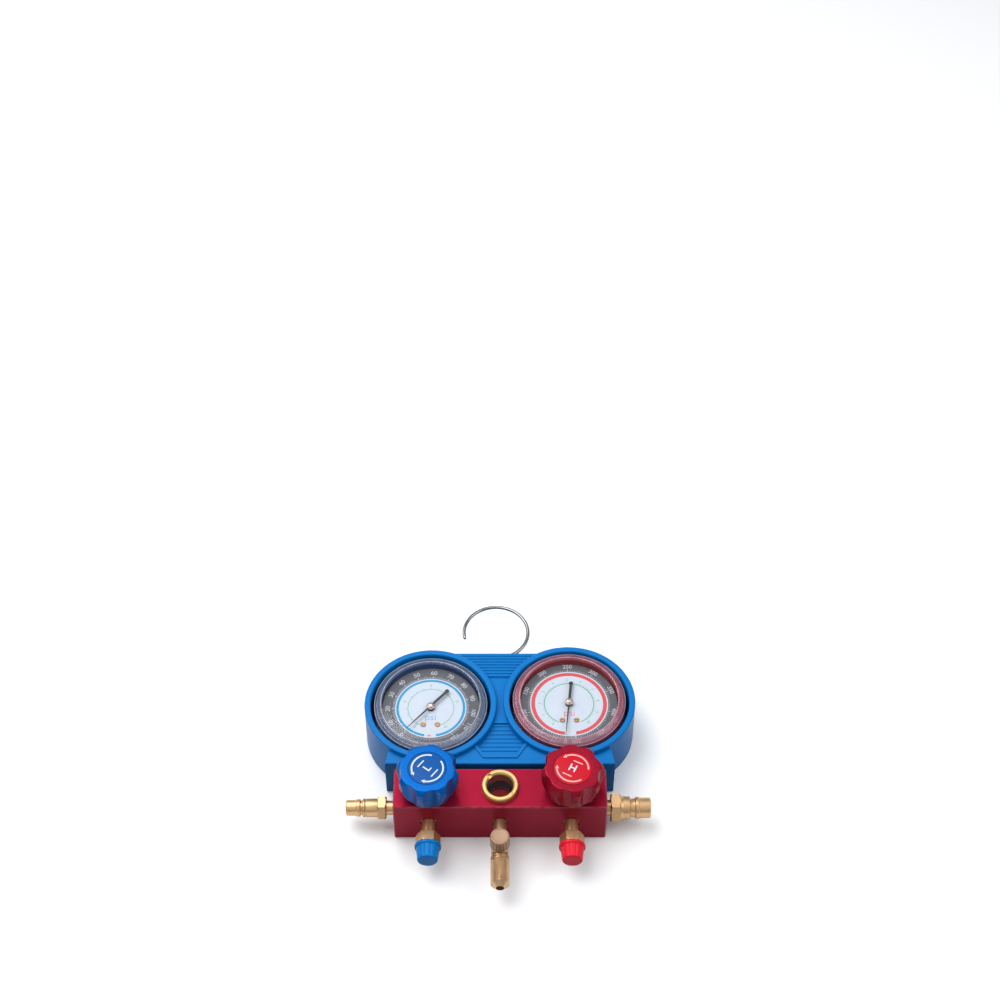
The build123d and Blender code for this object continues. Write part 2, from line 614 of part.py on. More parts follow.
def tooth(pitch_radius, teeth):
    """Face of one tooth centred on +X, with curved flanks down to the root circle."""
    root = pitch_radius - DEDENDUM * MODULE
    tip = pitch_radius + ADDENDUM * MODULE
    base = max(root, pitch_radius * cos(radians(PRESSURE_ANGLE)))
    flank = [(r * cos(half_angle(r, pitch_radius, teeth)), r * sin(half_angle(r, pitch_radius, teeth)))
             for r in (base, (base + tip) / 2, tip)]
    low = [(x, -y) for x, y in flank]
    inside = root - 0.2
    foot = inside * sin(half_angle(base, pitch_radius, teeth))
    return make_face([ThreePointArc(*flank), Line(flank[2], low[2]), ThreePointArc(*low[::-1]),
                      Line(low[0], (inside, -foot)), Line((inside, -foot), (inside, foot)),
                      Line((inside, foot), flank[0])])


def pinion_shaft():
    """Pointer arbor with its eight-leaf pinion; a gap between two leaves faces the sector."""
    low = SECTOR_HEIGHT - 0.5
    high = SECTOR_HEIGHT + SECTOR_THICKNESS + 0.5
    face = Circle(PINION_RADIUS - DEDENDUM * MODULE)
    for leaf in around(tooth(PINION_RADIUS, PINION_TEETH), PINION_TEETH, -90 + 180 / PINION_TEETH):
        face += leaf
    body = Pos(0, 0, low) * extrude(face, high - low)
    return body + drum(SHAFT_RADIUS, LOWER_PLATE + 0.2, POINTER_HEIGHT + 1.4)


def sector_gear():
    """Toothed arc on its arbor, with the tail that the link pushes."""
    root = SECTOR_RADIUS - DEDENDUM * MODULE
    teeth = PINION_TEETH * GEAR_RATIO
    step = 360 / teeth
    span = SECTOR_LAST - SECTOR_FIRST
    rim = Circle(root) - Circle(root - SECTOR_RIM)
    wedge = make_face(Polyline((0, 0), polar(30, SECTOR_FIRST), polar(30, (SECTOR_FIRST + SECTOR_LAST) / 2),
                               polar(30, SECTOR_LAST), close=True))
    face = rim & wedge
    count = int(span / step)
    first = 90 - step * int((90 - SECTOR_FIRST) / step)
    for number in range(count):
        face += Rot(0, 0, first + number * step) * tooth(SECTOR_RADIUS, teeth)
    for angle in (SECTOR_FIRST + 5, SECTOR_LAST - 5):
        reach = root - SECTOR_RIM / 2
        face += Rot(0, 0, angle) * Pos(reach / 2, 0) * Rectangle(reach, 1.8)
    face += Circle(SECTOR_HUB)
    face += Rot(0, 0, TUBE_TIP) * (Pos(TAIL_LENGTH / 2, 0) * Rectangle(TAIL_LENGTH, 2.2)
                                   + Pos(TAIL_LENGTH, 0) * Circle(LINK_EYE))
    body = Pos(0, 0, SECTOR_HEIGHT) * extrude(face, SECTOR_THICKNESS)
    body += drum(SHAFT_RADIUS, LOWER_PLATE + 0.2, UPPER_PLATE + PLATE_THICKNESS)
    body += drum(1.5, LOWER_PLATE + PLATE_THICKNESS + GAP, UPPER_PLATE - GAP)
    body -= Rot(0, 0, TUBE_TIP) * Pos(TAIL_LENGTH, 0, 0) * drum(PIN_RADIUS + RUN, -5, 5)
    return Pos(0, SECTOR_Y, 0) * body


def tail_end():
    x, y = polar(TAIL_LENGTH, TUBE_TIP)
    return x, y + SECTOR_Y


def tip_link():
    """Flat link from the sector's tail to the lug on the tube's tip."""
    x0, y0 = tail_end()
    x1, y1 = polar(LUG_RADIUS, TUBE_TIP)
    length = sqrt((x1 - x0) ** 2 + (y1 - y0) ** 2)
    tilt = degrees(acos((x1 - x0) / length))
    bar = Rectangle(length, 1.6) + Pos(-length / 2, 0) * Circle(LINK_EYE)
    bar += Pos(length / 2, 0) * Circle(LINK_EYE)
    bar -= Pos(length / 2, 0) * Circle(PIN_RADIUS + RUN)
    middle = Pos((x0 + x1) / 2, (y0 + y1) / 2, LINK_HEIGHT) * Rot(0, 0, tilt)
    body = middle * extrude(bar, LINK_THICKNESS)
    return body + Pos(x0, y0, 0) * drum(PIN_RADIUS, LINK_HEIGHT, SECTOR_HEIGHT + SECTOR_THICKNESS + GAP)


def spiral(growth):
    """Points of the hairspring's strip, moved out by growth."""
    steps = int(SPRING_TURNS * 10)
    return [polar(SPRING_INNER + growth + (SPRING_OUTER - SPRING_INNER) * n / steps,
                  360 * SPRING_TURNS * n / steps) for n in range(steps + 1)]


def hairspring():
    inner, outer = spiral(0), spiral(SPRING_STRIP)
    strip = make_face([Spline(*inner), Line(inner[-1], outer[-1]), Spline(*outer),
                       Line(outer[0], inner[0])])
    return Pos(0, 0, SPRING_HEIGHT) * extrude(strip, SPRING_DEPTH)


# ---- housing ----
def shell_outline(inset=0.0):
    """Plan of the housing: two rings, the bridge between them and the flared skirt."""
    low = SHELL_BOTTOM + inset * SKIRT_WALL / SHELL_WALL
    high = SHELL_TOP - inset
    face = Pos(0, (low + high) / 2) * Rectangle(2 * STATION, high - low)
    for place in ring_places():
        face += place * Circle(SHELL_RADIUS - inset)
    waist, foot = SKIRT_WAIST - inset, SKIRT_FOOT - inset
    return face + make_face(Polyline((-foot, low), (foot, low), (waist, SKIRT_WAIST_Y),
                                     (-waist, SKIRT_WAIST_Y), close=True))


def plan(face, low, high):
    return Pos(0, 0, low) * extrude(face, high - low)


def ring_places():
    return [Pos(sign * STATION, RING_Y[side], 0) for side, sign in SIDES]


def between_rings(shape):
    """The part of a raised detail that lies clear of both gauge rings."""
    for place in ring_places():
        shape -= place * drum(SHELL_RADIUS - 1, 0, LIP_Z + 5)
    return shape


def recess_outline(growth):
    """The six-sided recess under the bridge, grown evenly by a margin."""
    points = [(-RECESS_TOP_HALF, RECESS_TOP), (RECESS_TOP_HALF, RECESS_TOP),
              (RECESS_WIDE_HALF, RECESS_WIDE), (RECESS_LOW_HALF, RECESS_LOW),
              (-RECESS_LOW_HALF, RECESS_LOW), (-RECESS_WIDE_HALF, RECESS_WIDE)]
    outline = make_face(Polyline(*points, close=True))
    return offset(outline, growth, kind=Kind.INTERSECTION) if growth else outline


def bridge_ribs(low, high, count, floor, rise, half_width):
    pitch = (high - low) / count
    ribs = None
    for number in range(count):
        y = low + pitch * (number + 0.5)
        rib = slab((-half_width, half_width), (y - RIB_WIDTH / 2, y + RIB_WIDTH / 2), (floor, floor + rise))
        ribs = rib if ribs is None else ribs + rib
    return ribs


def top_panel():
    """Raised grip panel with fine ribs across the top of the bridge."""
    low = SHELL_FACE_Z - 0.5
    top = SHELL_FACE_Z + PANEL_RISE
    panel = slab((-STATION, STATION), (PANEL_LOW, PANEL_HIGH), (low, top))
    count = int((PANEL_HIGH - PANEL_LOW) / RIB_PITCH)
    panel += bridge_ribs(PANEL_LOW, PANEL_HIGH, count, top - 0.1, RIB_RISE + 0.1, STATION)
    return between_rings(panel)


def ring_wall():
    """Wall of one gauge pocket with its rounded lip."""
    mouth, inner, low = LIP_RADIUS, POCKET_RADIUS, COVER_THICKNESS
    ledge = LIP_Z - LIP_DEPTH
    profile = [Line((inner, low), (SHELL_RADIUS, low)), Line((SHELL_RADIUS, low), (SHELL_RADIUS, LIP_Z - LIP_ROUND)),
               RadiusArc((SHELL_RADIUS, LIP_Z - LIP_ROUND), (SHELL_RADIUS - LIP_ROUND, LIP_Z), -LIP_ROUND),
               Line((SHELL_RADIUS - LIP_ROUND, LIP_Z), (mouth + LIP_ROUND, LIP_Z)),
               RadiusArc((mouth + LIP_ROUND, LIP_Z), (mouth, LIP_Z - LIP_ROUND), -LIP_ROUND),
               Line((mouth, LIP_Z - LIP_ROUND), (mouth, ledge)), Line((mouth, ledge), (inner, ledge - 1)),
               Line((inner, ledge - 1), (inner, low))]
    return revolve(Plane.XZ * make_face(profile), Axis.Z)


def boss_places():
    """Cover screws: beside the hook, under the bridge and in the skirt's corners."""
    corner = SKIRT_FOOT - SHELL_WALL - BOSS_RADIUS
    spots = ((14, SHELL_TOP - 10), (12, SHELL_BOTTOM + 11), (corner, SHELL_BOTTOM + 6))
    return [Pos(side * x, y, 0) for x, y in spots for side in (-1, 1)]


def gauge_housing():
    """Front shell: pocket rings, ribbed bridge, recess and skirt, open at the back."""
    body = plan(shell_outline(), COVER_THICKNESS, SHELL_FACE_Z)
    body = fillet(body.faces().sort_by(Axis.Z)[-1].outer_wire().edges(), SHELL_ROUND)
    body -= plan(shell_outline(SHELL_WALL), COVER_THICKNESS - 1, CAVITY_Z)
    body += top_panel()
    body -= plan(recess_outline(0), SHELL_FACE_Z - RECESS_DEPTH, SHELL_FACE_Z + 1)
    ribs = bridge_ribs(RECESS_LOW, RECESS_TOP, RECESS_RIBS, SHELL_FACE_Z - RECESS_DEPTH - 0.1,
                       RIB_RISE + 0.1, RECESS_WIDE_HALF)
    body += ribs & plan(recess_outline(0), 0, LIP_Z)
    bead = plan(recess_outline(BEAD_WIDTH) - recess_outline(0), SHELL_FACE_Z - 0.5, SHELL_FACE_Z + BEAD_RISE)
    body += bead & slab((-STATION, STATION), (0, RECESS_WIDE + 1), (0, LIP_Z))
    for place in boss_places():
        body += place * drum(BOSS_RADIUS, COVER_THICKNESS, CAVITY_Z + 0.5)
    for place in ring_places():
        body += place * ring_wall()
        body -= place * drum(POCKET_RADIUS, COVER_THICKNESS - 1, LIP_Z - LIP_DEPTH - 1)
        body -= place * drum(LIP_RADIUS, LIP_Z - LIP_DEPTH - 2, LIP_Z + 2)
    for place in boss_places():
        body -= place * drum(COVER_SCREW_RADIUS + RUN, 0, COVER_THICKNESS + COVER_SCREW_LENGTH)
    for _, side in SIDES:
        body -= Pos(side * STATION, 0, 0) * stem_notch()
    return drill_for_hook(body)


def stem_notch():
    """Slot open to the back that lets a gauge's stem and hexagon drop in."""
    half = SHANK_RADIUS + GAP
    slot = slab((-half, half), (SHELL_BOTTOM - 1, SHELL_BOTTOM + SKIRT_WALL + 1), (COVER_THICKNESS - 1, PORT_Z))
    slot += along((0, SHELL_BOTTOM - 1, PORT_Z), (0, 1, 0)) * drum(half, 0, SKIRT_WALL + 2)
    corner = SOCKET_ACROSS / sqrt(3) + GAP
    top = GAUGE_Y["high"] - CASE_RADIUS
    return slot + slab((-corner, corner), (SHELL_BOTTOM + SKIRT_WALL, top), (COVER_THICKNESS - 1, PORT_Z + corner))


def drill_for_hook(body):
    wall = SHELL_TOP - SHELL_WALL / 2
    boss = drum(HOOK_BOSS_RADIUS, 0, HOOK_BOSS_LENGTH + SHELL_WALL / 2)
    body += along((0, wall, PORT_Z), (0, -1, 0)) * boss
    hole = drum(WIRE_RADIUS + 2 * RUN, -SHELL_WALL, HOOK_BOSS_LENGTH + SHELL_WALL)
    return body - along((0, wall, PORT_Z), (0, -1, 0)) * hole


def rear_cover():
    """Flat back with a pad ring under each gauge and sunk screw seats."""
    body = plan(shell_outline(), 0, COVER_THICKNESS)
    body = chamfer(body.edges().group_by(Axis.Z)[0], COVER_EDGE)
    pad_top = PORT_Z + CASE_BACK - 0.1
    for place in ring_places():
        body += place * ring(PAD_RADIUS, PAD_RADIUS - PAD_WIDTH, COVER_THICKNESS - 0.5, pad_top)
    for place in boss_places():
        body -= place * drum(COVER_SCREW_RADIUS + 2 * RUN, -1, COVER_THICKNESS + 1)
        body -= place * drum(COVER_SCREW_HEAD + GAP, -1, COVER_SCREW_SINK)
    return body


def cover_screws():
    head = turned((0, GAP), (COVER_SCREW_HEAD - 0.5, GAP), (COVER_SCREW_HEAD, GAP + 0.6),
                  (COVER_SCREW_HEAD, COVER_SCREW_SINK), (0, COVER_SCREW_SINK))
    for turn in (0, 90):
        head -= Rot(0, 0, turn) * slab((-1.5, 1.5), (-0.3, 0.3), (0, GAP + 0.8))
    screw = head + drum(COVER_SCREW_RADIUS, COVER_SCREW_SINK - 0.1, COVER_THICKNESS + COVER_SCREW_LENGTH - 1)
    return [place * screw for place in boss_places()]


def stem_spacers():
    """Collars that the gauge stems clamp between the block and the skirt."""
    collar = ring(8.0, SHANK_RADIUS + RUN, 0, SHELL_STANDOFF)
    return [along((side * STATION, BLOCK_DEPTH / 2, PORT_Z), (0, 1, 0)) * collar for _, side in SIDES]


# ---- hook ----
def hook():
    """Bent wire: a bow, a return bend down to the swivel line, and the shank."""
    turn = 90 + HOOK_TURN
    end_x, end_y = polar(HOOK_RADIUS, HOOK_TURN)
    end_x, end_y = end_x + HOOK_X, end_y + HOOK_Y
    bend = end_x / (1 - sin(radians(turn)))
    bend_y = end_y - bend * cos(radians(turn))
    tip_x, tip_y = polar(HOOK_RADIUS, HOOK_TIP)
    start = (tip_x + HOOK_X, tip_y + HOOK_Y)
    bow = ThreePointArc(start, (HOOK_X, HOOK_Y + HOOK_RADIUS), (end_x, end_y))
    middle_turn = radians(turn + (90 - turn) / 2)
    middle = (bend * (1 - sin(middle_turn)), bend_y + bend * cos(middle_turn))
    back = ThreePointArc((end_x, end_y), middle, (0, bend_y))
    path = Wire([bow, back, Line((0, bend_y), (0, HOOK_END))])
    tangent = path % 0
    section = Plane(origin=(*start, 0), z_dir=tangent) * Circle(WIRE_RADIUS)
    return Pos(0, 0, PORT_Z) * sweep(section, path=path)


def hook_retainer():
    top = SHELL_TOP - SHELL_WALL / 2 - HOOK_BOSS_LENGTH - SHELL_WALL / 2 - GAP
    washer = ring(RETAINER_RADIUS, WIRE_RADIUS + RUN, 0, RETAINER_THICKNESS)
    return along((0, top, PORT_Z), (0, -1, 0)) * washer


# ---- fittings, modelled with their far end up ----
def flare_end(low, thread, nose):
    """Male flare thread with a relief groove at its foot and a 45 degree seat."""
    top = low + thread
    return turned((0, low), (FLARE_RADIUS - 0.8, low), (FLARE_RADIUS - 0.8, low + 0.8),
                  (FLARE_RADIUS, low + 1.4), (FLARE_RADIUS, top - 0.6), (FLARE_RADIUS - 0.6, top),
                  (FLARE_RADIUS - 0.9, top), (FLARE_RADIUS - 0.9 - nose, top + nose), (0, top + nose))


def port_fitting():
    hex_low, hex_high = PORT_NECK, PORT_NECK + PORT_HEX
    body = turned((0, -SHANK_LENGTH), (SHANK_RADIUS - 0.5, -SHANK_LENGTH), (SHANK_RADIUS, 0.5 - SHANK_LENGTH),
                  (SHANK_RADIUS, 0), (PORT_NECK_RADIUS, 1.4), (PORT_NECK_RADIUS, hex_low), (0, hex_low))
    body += hexagon(PORT_ACROSS, hex_low, hex_high)
    body += flare_end(hex_high, PORT_THREAD, PORT_NOSE)
    return body - drum(FLARE_BORE, -SHANK_LENGTH - 1, hex_high + PORT_THREAD + PORT_NOSE + 1)


def port_cap():
    """Moulded thread cap: mouth flange, fluted tapering skirt, closed end."""
    mouth = PORT_NECK + PORT_HEX + GAP
    floor = PORT_NECK + PORT_HEX + PORT_THREAD + PORT_NOSE + GAP
    top = floor + CAP_END
    body = turned((0, mouth), (CAP_FLANGE_RADIUS, mouth), (CAP_FLANGE_RADIUS, mouth + CAP_FLANGE - 0.5),
                  (CAP_FLANGE_RADIUS - 0.5, mouth + CAP_FLANGE), (CAP_RADIUS, mouth + CAP_FLANGE),
                  (CAP_END_RADIUS, top - 0.8), (CAP_END_RADIUS - 0.8, top), (0, top))
    body -= drum(FLARE_RADIUS + 2 * RUN, mouth - 1, mouth + PORT_THREAD)
    body -= drum(FLARE_RADIUS - 0.8, mouth, floor)
    flute = Pos(CAP_RADIUS + FLUTE_RADIUS * 0.55, 0, 0) * drum(FLUTE_RADIUS, mouth + CAP_FLANGE, top + 1)
    for cut in around(flute, CAP_FLUTES):
        body -= cut
    return body


def centre_fitting():
    """Tee: neck, body with the service stub facing forward, and the outlet's thread."""
    collar = TEE_OFFSET + STUB_CAP_RADIUS + GAP
    body = turned((0, -SHANK_LENGTH), (SHANK_RADIUS - 0.5, -SHANK_LENGTH), (SHANK_RADIUS, 0.5 - SHANK_LENGTH),
                  (SHANK_RADIUS, 0), (PORT_NECK_RADIUS, 1.4), (PORT_NECK_RADIUS, CENTRE_NECK),
                  (PORT_NECK_RADIUS + 0.8, CENTRE_NECK + 0.8), (PORT_NECK_RADIUS + 0.8, collar),
                  (FLARE_RADIUS, collar), (FLARE_RADIUS, CENTRE_COLLAR), (0, CENTRE_COLLAR))
    body += flare_end(CENTRE_COLLAR, CENTRE_THREAD, CENTRE_NOSE)
    stub = chamfer(drum(TEE_RADIUS, TEE_LOW, TEE_HIGH).edges(), 0.5)
    stub += drum(STUB_COLLAR_RADIUS, TEE_HIGH - STUB_COLLAR, TEE_HIGH)
    stub += chamfer(drum(STUB_RADIUS, TEE_HIGH - 1, STUB_HIGH).edges().group_by(Axis.Z)[-1], 0.4)
    stub -= drum(STUB_BORE, 0, STUB_HIGH + 1)
    bore = drum(FLARE_BORE, -SHANK_LENGTH - 1, CENTRE_COLLAR + CENTRE_THREAD + CENTRE_NOSE + 1)
    placed = along((0, -BLOCK_DEPTH / 2, PORT_Z), (0, -1, 0)) * (body - bore)
    stub_place = Pos(0, -BLOCK_DEPTH / 2 - TEE_OFFSET, PORT_Z)
    placed += stub_place * stub
    return placed - stub_place * drum(STUB_BORE, 0, STUB_HIGH)


def valve_core():
    """Spring-loaded core of the service stub: sealed barrel and its pin."""
    body = ring(STUB_BORE - RUN, 1.0, TEE_HIGH, TEE_HIGH + 5.5) + drum(0.95, TEE_HIGH - 1, STUB_HIGH - 0.4)
    body += drum(STUB_BORE - RUN, TEE_HIGH + 2, TEE_HIGH + 3)
    return Pos(0, -BLOCK_DEPTH / 2 - TEE_OFFSET, PORT_Z) * body


def service_cap():
    """Knurled brass cap of the service stub."""
    low = TEE_HIGH + GAP
    top = low + STUB_CAP_HEIGHT + STUB_CAP_TOP
    body = drum(STUB_CAP_RADIUS, low, top)
    body = chamfer(body.edges().group_by(Axis.Z)[-1], 0.5)
    for cut in around(Pos(STUB_CAP_RADIUS + 0.15, 0, 0) * drum(KNURL_RADIUS, low - 1, top - 1.3), KNURLS):
        body -= cut
    body -= drum(STUB_RADIUS + RUN, low - 1, top - STUB_CAP_TOP)
    return Pos(0, -BLOCK_DEPTH / 2 - TEE_OFFSET, PORT_Z) * body


def low_post():
    """Parking post for the low-side coupler, 13 mm family."""
    hex_low, r, end = LOW_POST_NECK, LOW_POST_RADIUS, LOW_POST_LENGTH
    body = turned((0, -POST_SHANK), (POST_SHANK_RADIUS, -POST_SHANK), (POST_SHANK_RADIUS, 0), (4.2, 0),
                  (4.2, hex_low), (0, hex_low))
    body += hexagon(LOW_POST_ACROSS, hex_low, hex_low + 5.1)
    body += turned((0, 9.8), (r, 9.8), (r, 16.7), (r - 0.35, 17.1), (r, 17.5), (r, 18.6), (r - 1.1, 18.9),
                   (r - 1.1, 19.9), (r - 0.3, 20.2), (r - 0.3, 22.2), (r - 0.8, 22.6), (r - 0.8, end - 0.5),
                   (r - 1.3, end), (0, end))
    return body - drum(POST_BORE, end - POST_BORE_DEPTH, end + 1)


def high_post():
    """Parking post for the high-side coupler, 16 mm family."""
    hex_low, r, end = HIGH_POST_NECK, HIGH_POST_RADIUS, HIGH_POST_LENGTH
    body = turned((0, -POST_SHANK), (POST_SHANK_RADIUS, -POST_SHANK), (POST_SHANK_RADIUS, 0), (4.6, 0),
                  (4.6, hex_low), (0, hex_low))
    body += hexagon(HIGH_POST_ACROSS, hex_low, hex_low + 5.9)
    body += turned((0, 8.8), (r + 0.9, 8.8), (r, 10.3), (r, 14.2), (5.5, 14.9), (5.5, 17.3), (6.5, 17.8),
                   (6.5, 19.6), (6.0, 20.0), (6.0, end - 0.5), (5.5, end), (0, end))
    return body - drum(POST_BORE, end - POST_BORE_DEPTH, end + 1)


# ---- assembly ----
def build_gauge(side, sign):
    place = Pos(sign * STATION, GAUGE_Y[side], PORT_Z)
    pieces = {"gauge_case": gauge_case(), "gauge_lens": gauge_lens(), "dial": dial(),
              "pointer": pointer(side), "gauge_socket": gauge_socket(GAUGE_Y[side]), "bourdon_tube": bourdon_tube(),
              "movement_frame": movement_frame(), "pinion_shaft": pinion_shaft(),
              "sector_gear": sector_gear(), "tip_link": tip_link(), "hairspring": hairspring()}
    for name, shape in pieces.items():
        save(f"{side}_{name}", place * shape)
    return [place * screw for screw in dial_screws()]


def build_valve(side, sign):
    place = Pos(sign * STATION, 0, BLOCK_HEIGHT)
    pieces = {"bonnet": bonnet(), "valve_stem": valve_stem(), "stem_oring": stem_oring(),
              "piston": piston(), "valve_seat": valve_seat(), "handwheel": handwheel(LOBE_PHASE[side]),
              "badge": badge(), "handwheel_screw": handwheel_screw()}
    for name, shape in pieces.items():
        save(f"{side}_{name}", place * shape)


def build_ports(side, sign):
    place = along((sign * STATION, -BLOCK_DEPTH / 2, PORT_Z), (0, -1, 0))
    save(f"{side}_port_fitting", place * port_fitting())
    save(f"{side}_port_cap", place * port_cap())
    post = low_post() if side == "low" else high_post()
    save(f"{side}_post", along((sign * BLOCK_LENGTH / 2, POST_Y, POST_Z), (sign, 0, 0)) * post)


def main():
    front = Pos(0, 0, BLOCK_HEIGHT)
    singles = {"manifold_block": manifold_block(), "gallery_plug": gallery_plug(),
               "sight_ring": front * sight_ring(), "sight_glass": front * sight_glass(),
               "sight_seal": front * sight_seal(), "gauge_housing": gauge_housing(),
               "rear_cover": rear_cover(), "hook": hook(), "hook_retainer": hook_retainer(),
               "centre_fitting": centre_fitting(), "centre_valve_core": valve_core(),
               "service_cap": service_cap()}
    for name, shape in singles.items():
        save(name, shape)
    all_dial_screws = []
    for side, sign in SIDES:
        all_dial_screws += build_gauge(side, sign)
        build_valve(side, sign)
        build_ports(side, sign)
    save("dial_screws", Compound(children=all_dial_screws))
    save("cover_screws", Compound(children=cover_screws()))
    save("stem_spacers", Compound(children=stem_spacers()))


main()
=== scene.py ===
"""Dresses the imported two-valve refrigerant manifold with its visible pieces and finishes."""

import json
from math import cos, hypot, pi, radians, sin, sqrt
from types import SimpleNamespace

import bpy
from bpy.props import FloatProperty, FloatVectorProperty, IntProperty, PointerProperty
from mathutils import Matrix, Vector


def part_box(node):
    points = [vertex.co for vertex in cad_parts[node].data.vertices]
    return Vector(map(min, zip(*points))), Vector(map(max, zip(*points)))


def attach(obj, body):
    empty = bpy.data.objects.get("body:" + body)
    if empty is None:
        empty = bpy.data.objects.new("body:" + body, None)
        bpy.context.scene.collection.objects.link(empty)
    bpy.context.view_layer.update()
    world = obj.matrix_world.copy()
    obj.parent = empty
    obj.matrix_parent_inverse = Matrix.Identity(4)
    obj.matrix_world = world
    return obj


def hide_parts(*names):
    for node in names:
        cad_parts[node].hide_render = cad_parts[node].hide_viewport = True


bl_info = {
    "name": "Manifold Gauge Dressing",
    "version": (1, 0, 0),
    "blender": (4, 5, 0),
    "location": "View3D > Sidebar > Manifold",
    "description": "Builds the visible pieces and finishes of a two-valve manifold",
    "category": "Object",
}

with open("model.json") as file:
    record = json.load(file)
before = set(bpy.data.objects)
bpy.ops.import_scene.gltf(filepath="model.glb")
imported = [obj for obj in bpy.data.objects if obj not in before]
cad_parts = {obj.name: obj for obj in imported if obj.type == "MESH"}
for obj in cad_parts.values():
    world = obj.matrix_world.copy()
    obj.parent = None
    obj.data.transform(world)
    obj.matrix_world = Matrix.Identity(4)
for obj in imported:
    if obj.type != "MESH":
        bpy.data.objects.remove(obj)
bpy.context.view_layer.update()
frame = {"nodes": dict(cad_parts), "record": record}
NODES = frame["nodes"]
RECORD = frame["record"]

MM = 0.001
SIDES = (("low", -1), ("high", 1))
SQUARE = ((-1, -1), (1, -1), (1, 1), (-1, 1))

# Stage: the camera's place in metres, its tilt in degrees from straight down, and half the floor's side.
CAMERA_PLACE, CAMERA_TILT = (0.0, -0.6409, 1.0272), 41.0
FLOOR_HALF = 3000

# Where the pieces sit, in millimetres. The block lies on its back with its middle on X and Y.
STATION = 42.0
PORT_Z = 16.5
BLOCK_HALF = (62.5, 13.5, 16.5)
STUB_Y = -31.0
FLARE_RADIUS, FLARE_PITCH, STUB_PITCH = 5.55, 1.27, 0.8
POST_Y, POST_Z = -1.6, 14.0

# Heights of the gauge's layers above the port line, in millimetres.
DIAL_BACK, DIAL_TOP, DIAL_REACH = 10.8, 11.44, 29.4
PRINT = 0.035
NEEDLE_BACK, NEEDLE_TOP = 13.4, 13.8
WINDOW_BACK, WINDOW_TOP = 16.0, 18.0

# Profile of a port's end that screws into the block, as radius, height and softening.
SCREWED_END = [(2.4, -6.0), (4.35, -6.0), (4.85, -5.5), (4.85, -1.1), (4.0, -0.9, 0.2), (3.8, 0.6, 0.3)]

# Direction of the first finger scallop of each handwheel as it stands at rest, in degrees.
LOBE_PHASE = {"low": 32.5, "high": 7.0}

# Order of the finishes on a dial.
WHITE, DARK, RING, GREEN, ORANGE, FIGURES, WORD = range(7)

# Printing and needle of each dial: directions in degrees, radii and lengths in millimetres.
DIALS = {
    "low": SimpleNamespace(
        colour="blue", zero=228.5, degrees=-2.36, last=120, labelled=10, finest=1,
        tick_foot=22.0, tick_end=23.8, numeral_ring=26.0,
        bands=(2.4, 19.4, 21.0, 21.7), gap=(260, 280),
        dense_marks=31, dense_start=231.0, dense_gap=2.4, dense_ring=22.8, dense_width=0.2,
        circle=13.9, line=0.2, marks=17, mark_gap=18.2, mark_labelled=4, mark_value=4,
        needle=21.5, tail=14.6),
    "high": SimpleNamespace(
        colour="red", zero=264.0, degrees=-0.692, last=500, labelled=50, finest=5,
        tick_foot=24.0, tick_end=25.6, numeral_ring=27.6,
        bands=(2.4, 20.7, 23.0, 23.8), gap=(262, 280),
        dense_marks=8, dense_start=263.5, dense_gap=2.2, dense_ring=24.9, dense_width=0.26,
        circle=15.0, line=0.3, marks=51, mark_gap=5.7, mark_labelled=5, mark_value=1,
        needle=24.5, tail=13.7),
}


# ---- places and plain shapes, in millimetres ----
def place(origin, direction=(0, 0, 1), up=(0, 0, 1)):
    """Matrix that stands a piece modelled about Z at origin, its far end along direction."""
    axis = Vector(direction).normalized()
    side = Vector(up) if abs(axis.z) < 0.9 else Vector((1, 0, 0))
    side = (side - axis * side.dot(axis)).normalized()
    matrix = Matrix((side, axis.cross(side), axis)).transposed().to_4x4()
    matrix.translation = Vector(origin)
    return matrix


def polar(radius, angle):
    """X and Y of a radius in a direction given in degrees."""
    return radius * cos(radians(angle)), radius * sin(radians(angle))


def middle(node):
    """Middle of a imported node, in millimetres."""
    low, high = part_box(node)
    return (Vector(low) + Vector(high)) / 2 / MM


def softened(points, parts=4):
    """Profile whose corners with a third number are rounded off by that length."""
    soft = []
    count = len(points)
    for index, point in enumerate(points):
        if len(point) < 3:
            soft.append(point)
            continue
        corner = Vector(point[:2])
        before = Vector(points[index - 1][:2]) - corner
        after = Vector(points[(index + 1) % count][:2]) - corner
        start = corner + before.normalized() * min(point[2], before.length * 0.49)
        end = corner + after.normalized() * min(point[2], after.length * 0.49)
        for step in range(parts + 1):
            t = step / parts
            soft.append(tuple(start * (1 - t) ** 2 + corner * (2 * t * (1 - t)) + end * t * t))
    return soft


def divided(profile, span, closed=False):
    """Profile with points added so that no run is longer than span."""
    ends = profile[1:] + (profile[:1] if closed else [])
    fine = []
    for here, after in zip(profile, ends):
        parts = max(1, int(hypot(after[0] - here[0], after[1] - here[1]) / span))
        run = after[0] - here[0], after[1] - here[1]
        fine += [(here[0] + run[0] * n / parts, here[1] + run[1] * n / parts) for n in range(parts)]
    return fine if closed else fine + profile[-1:]


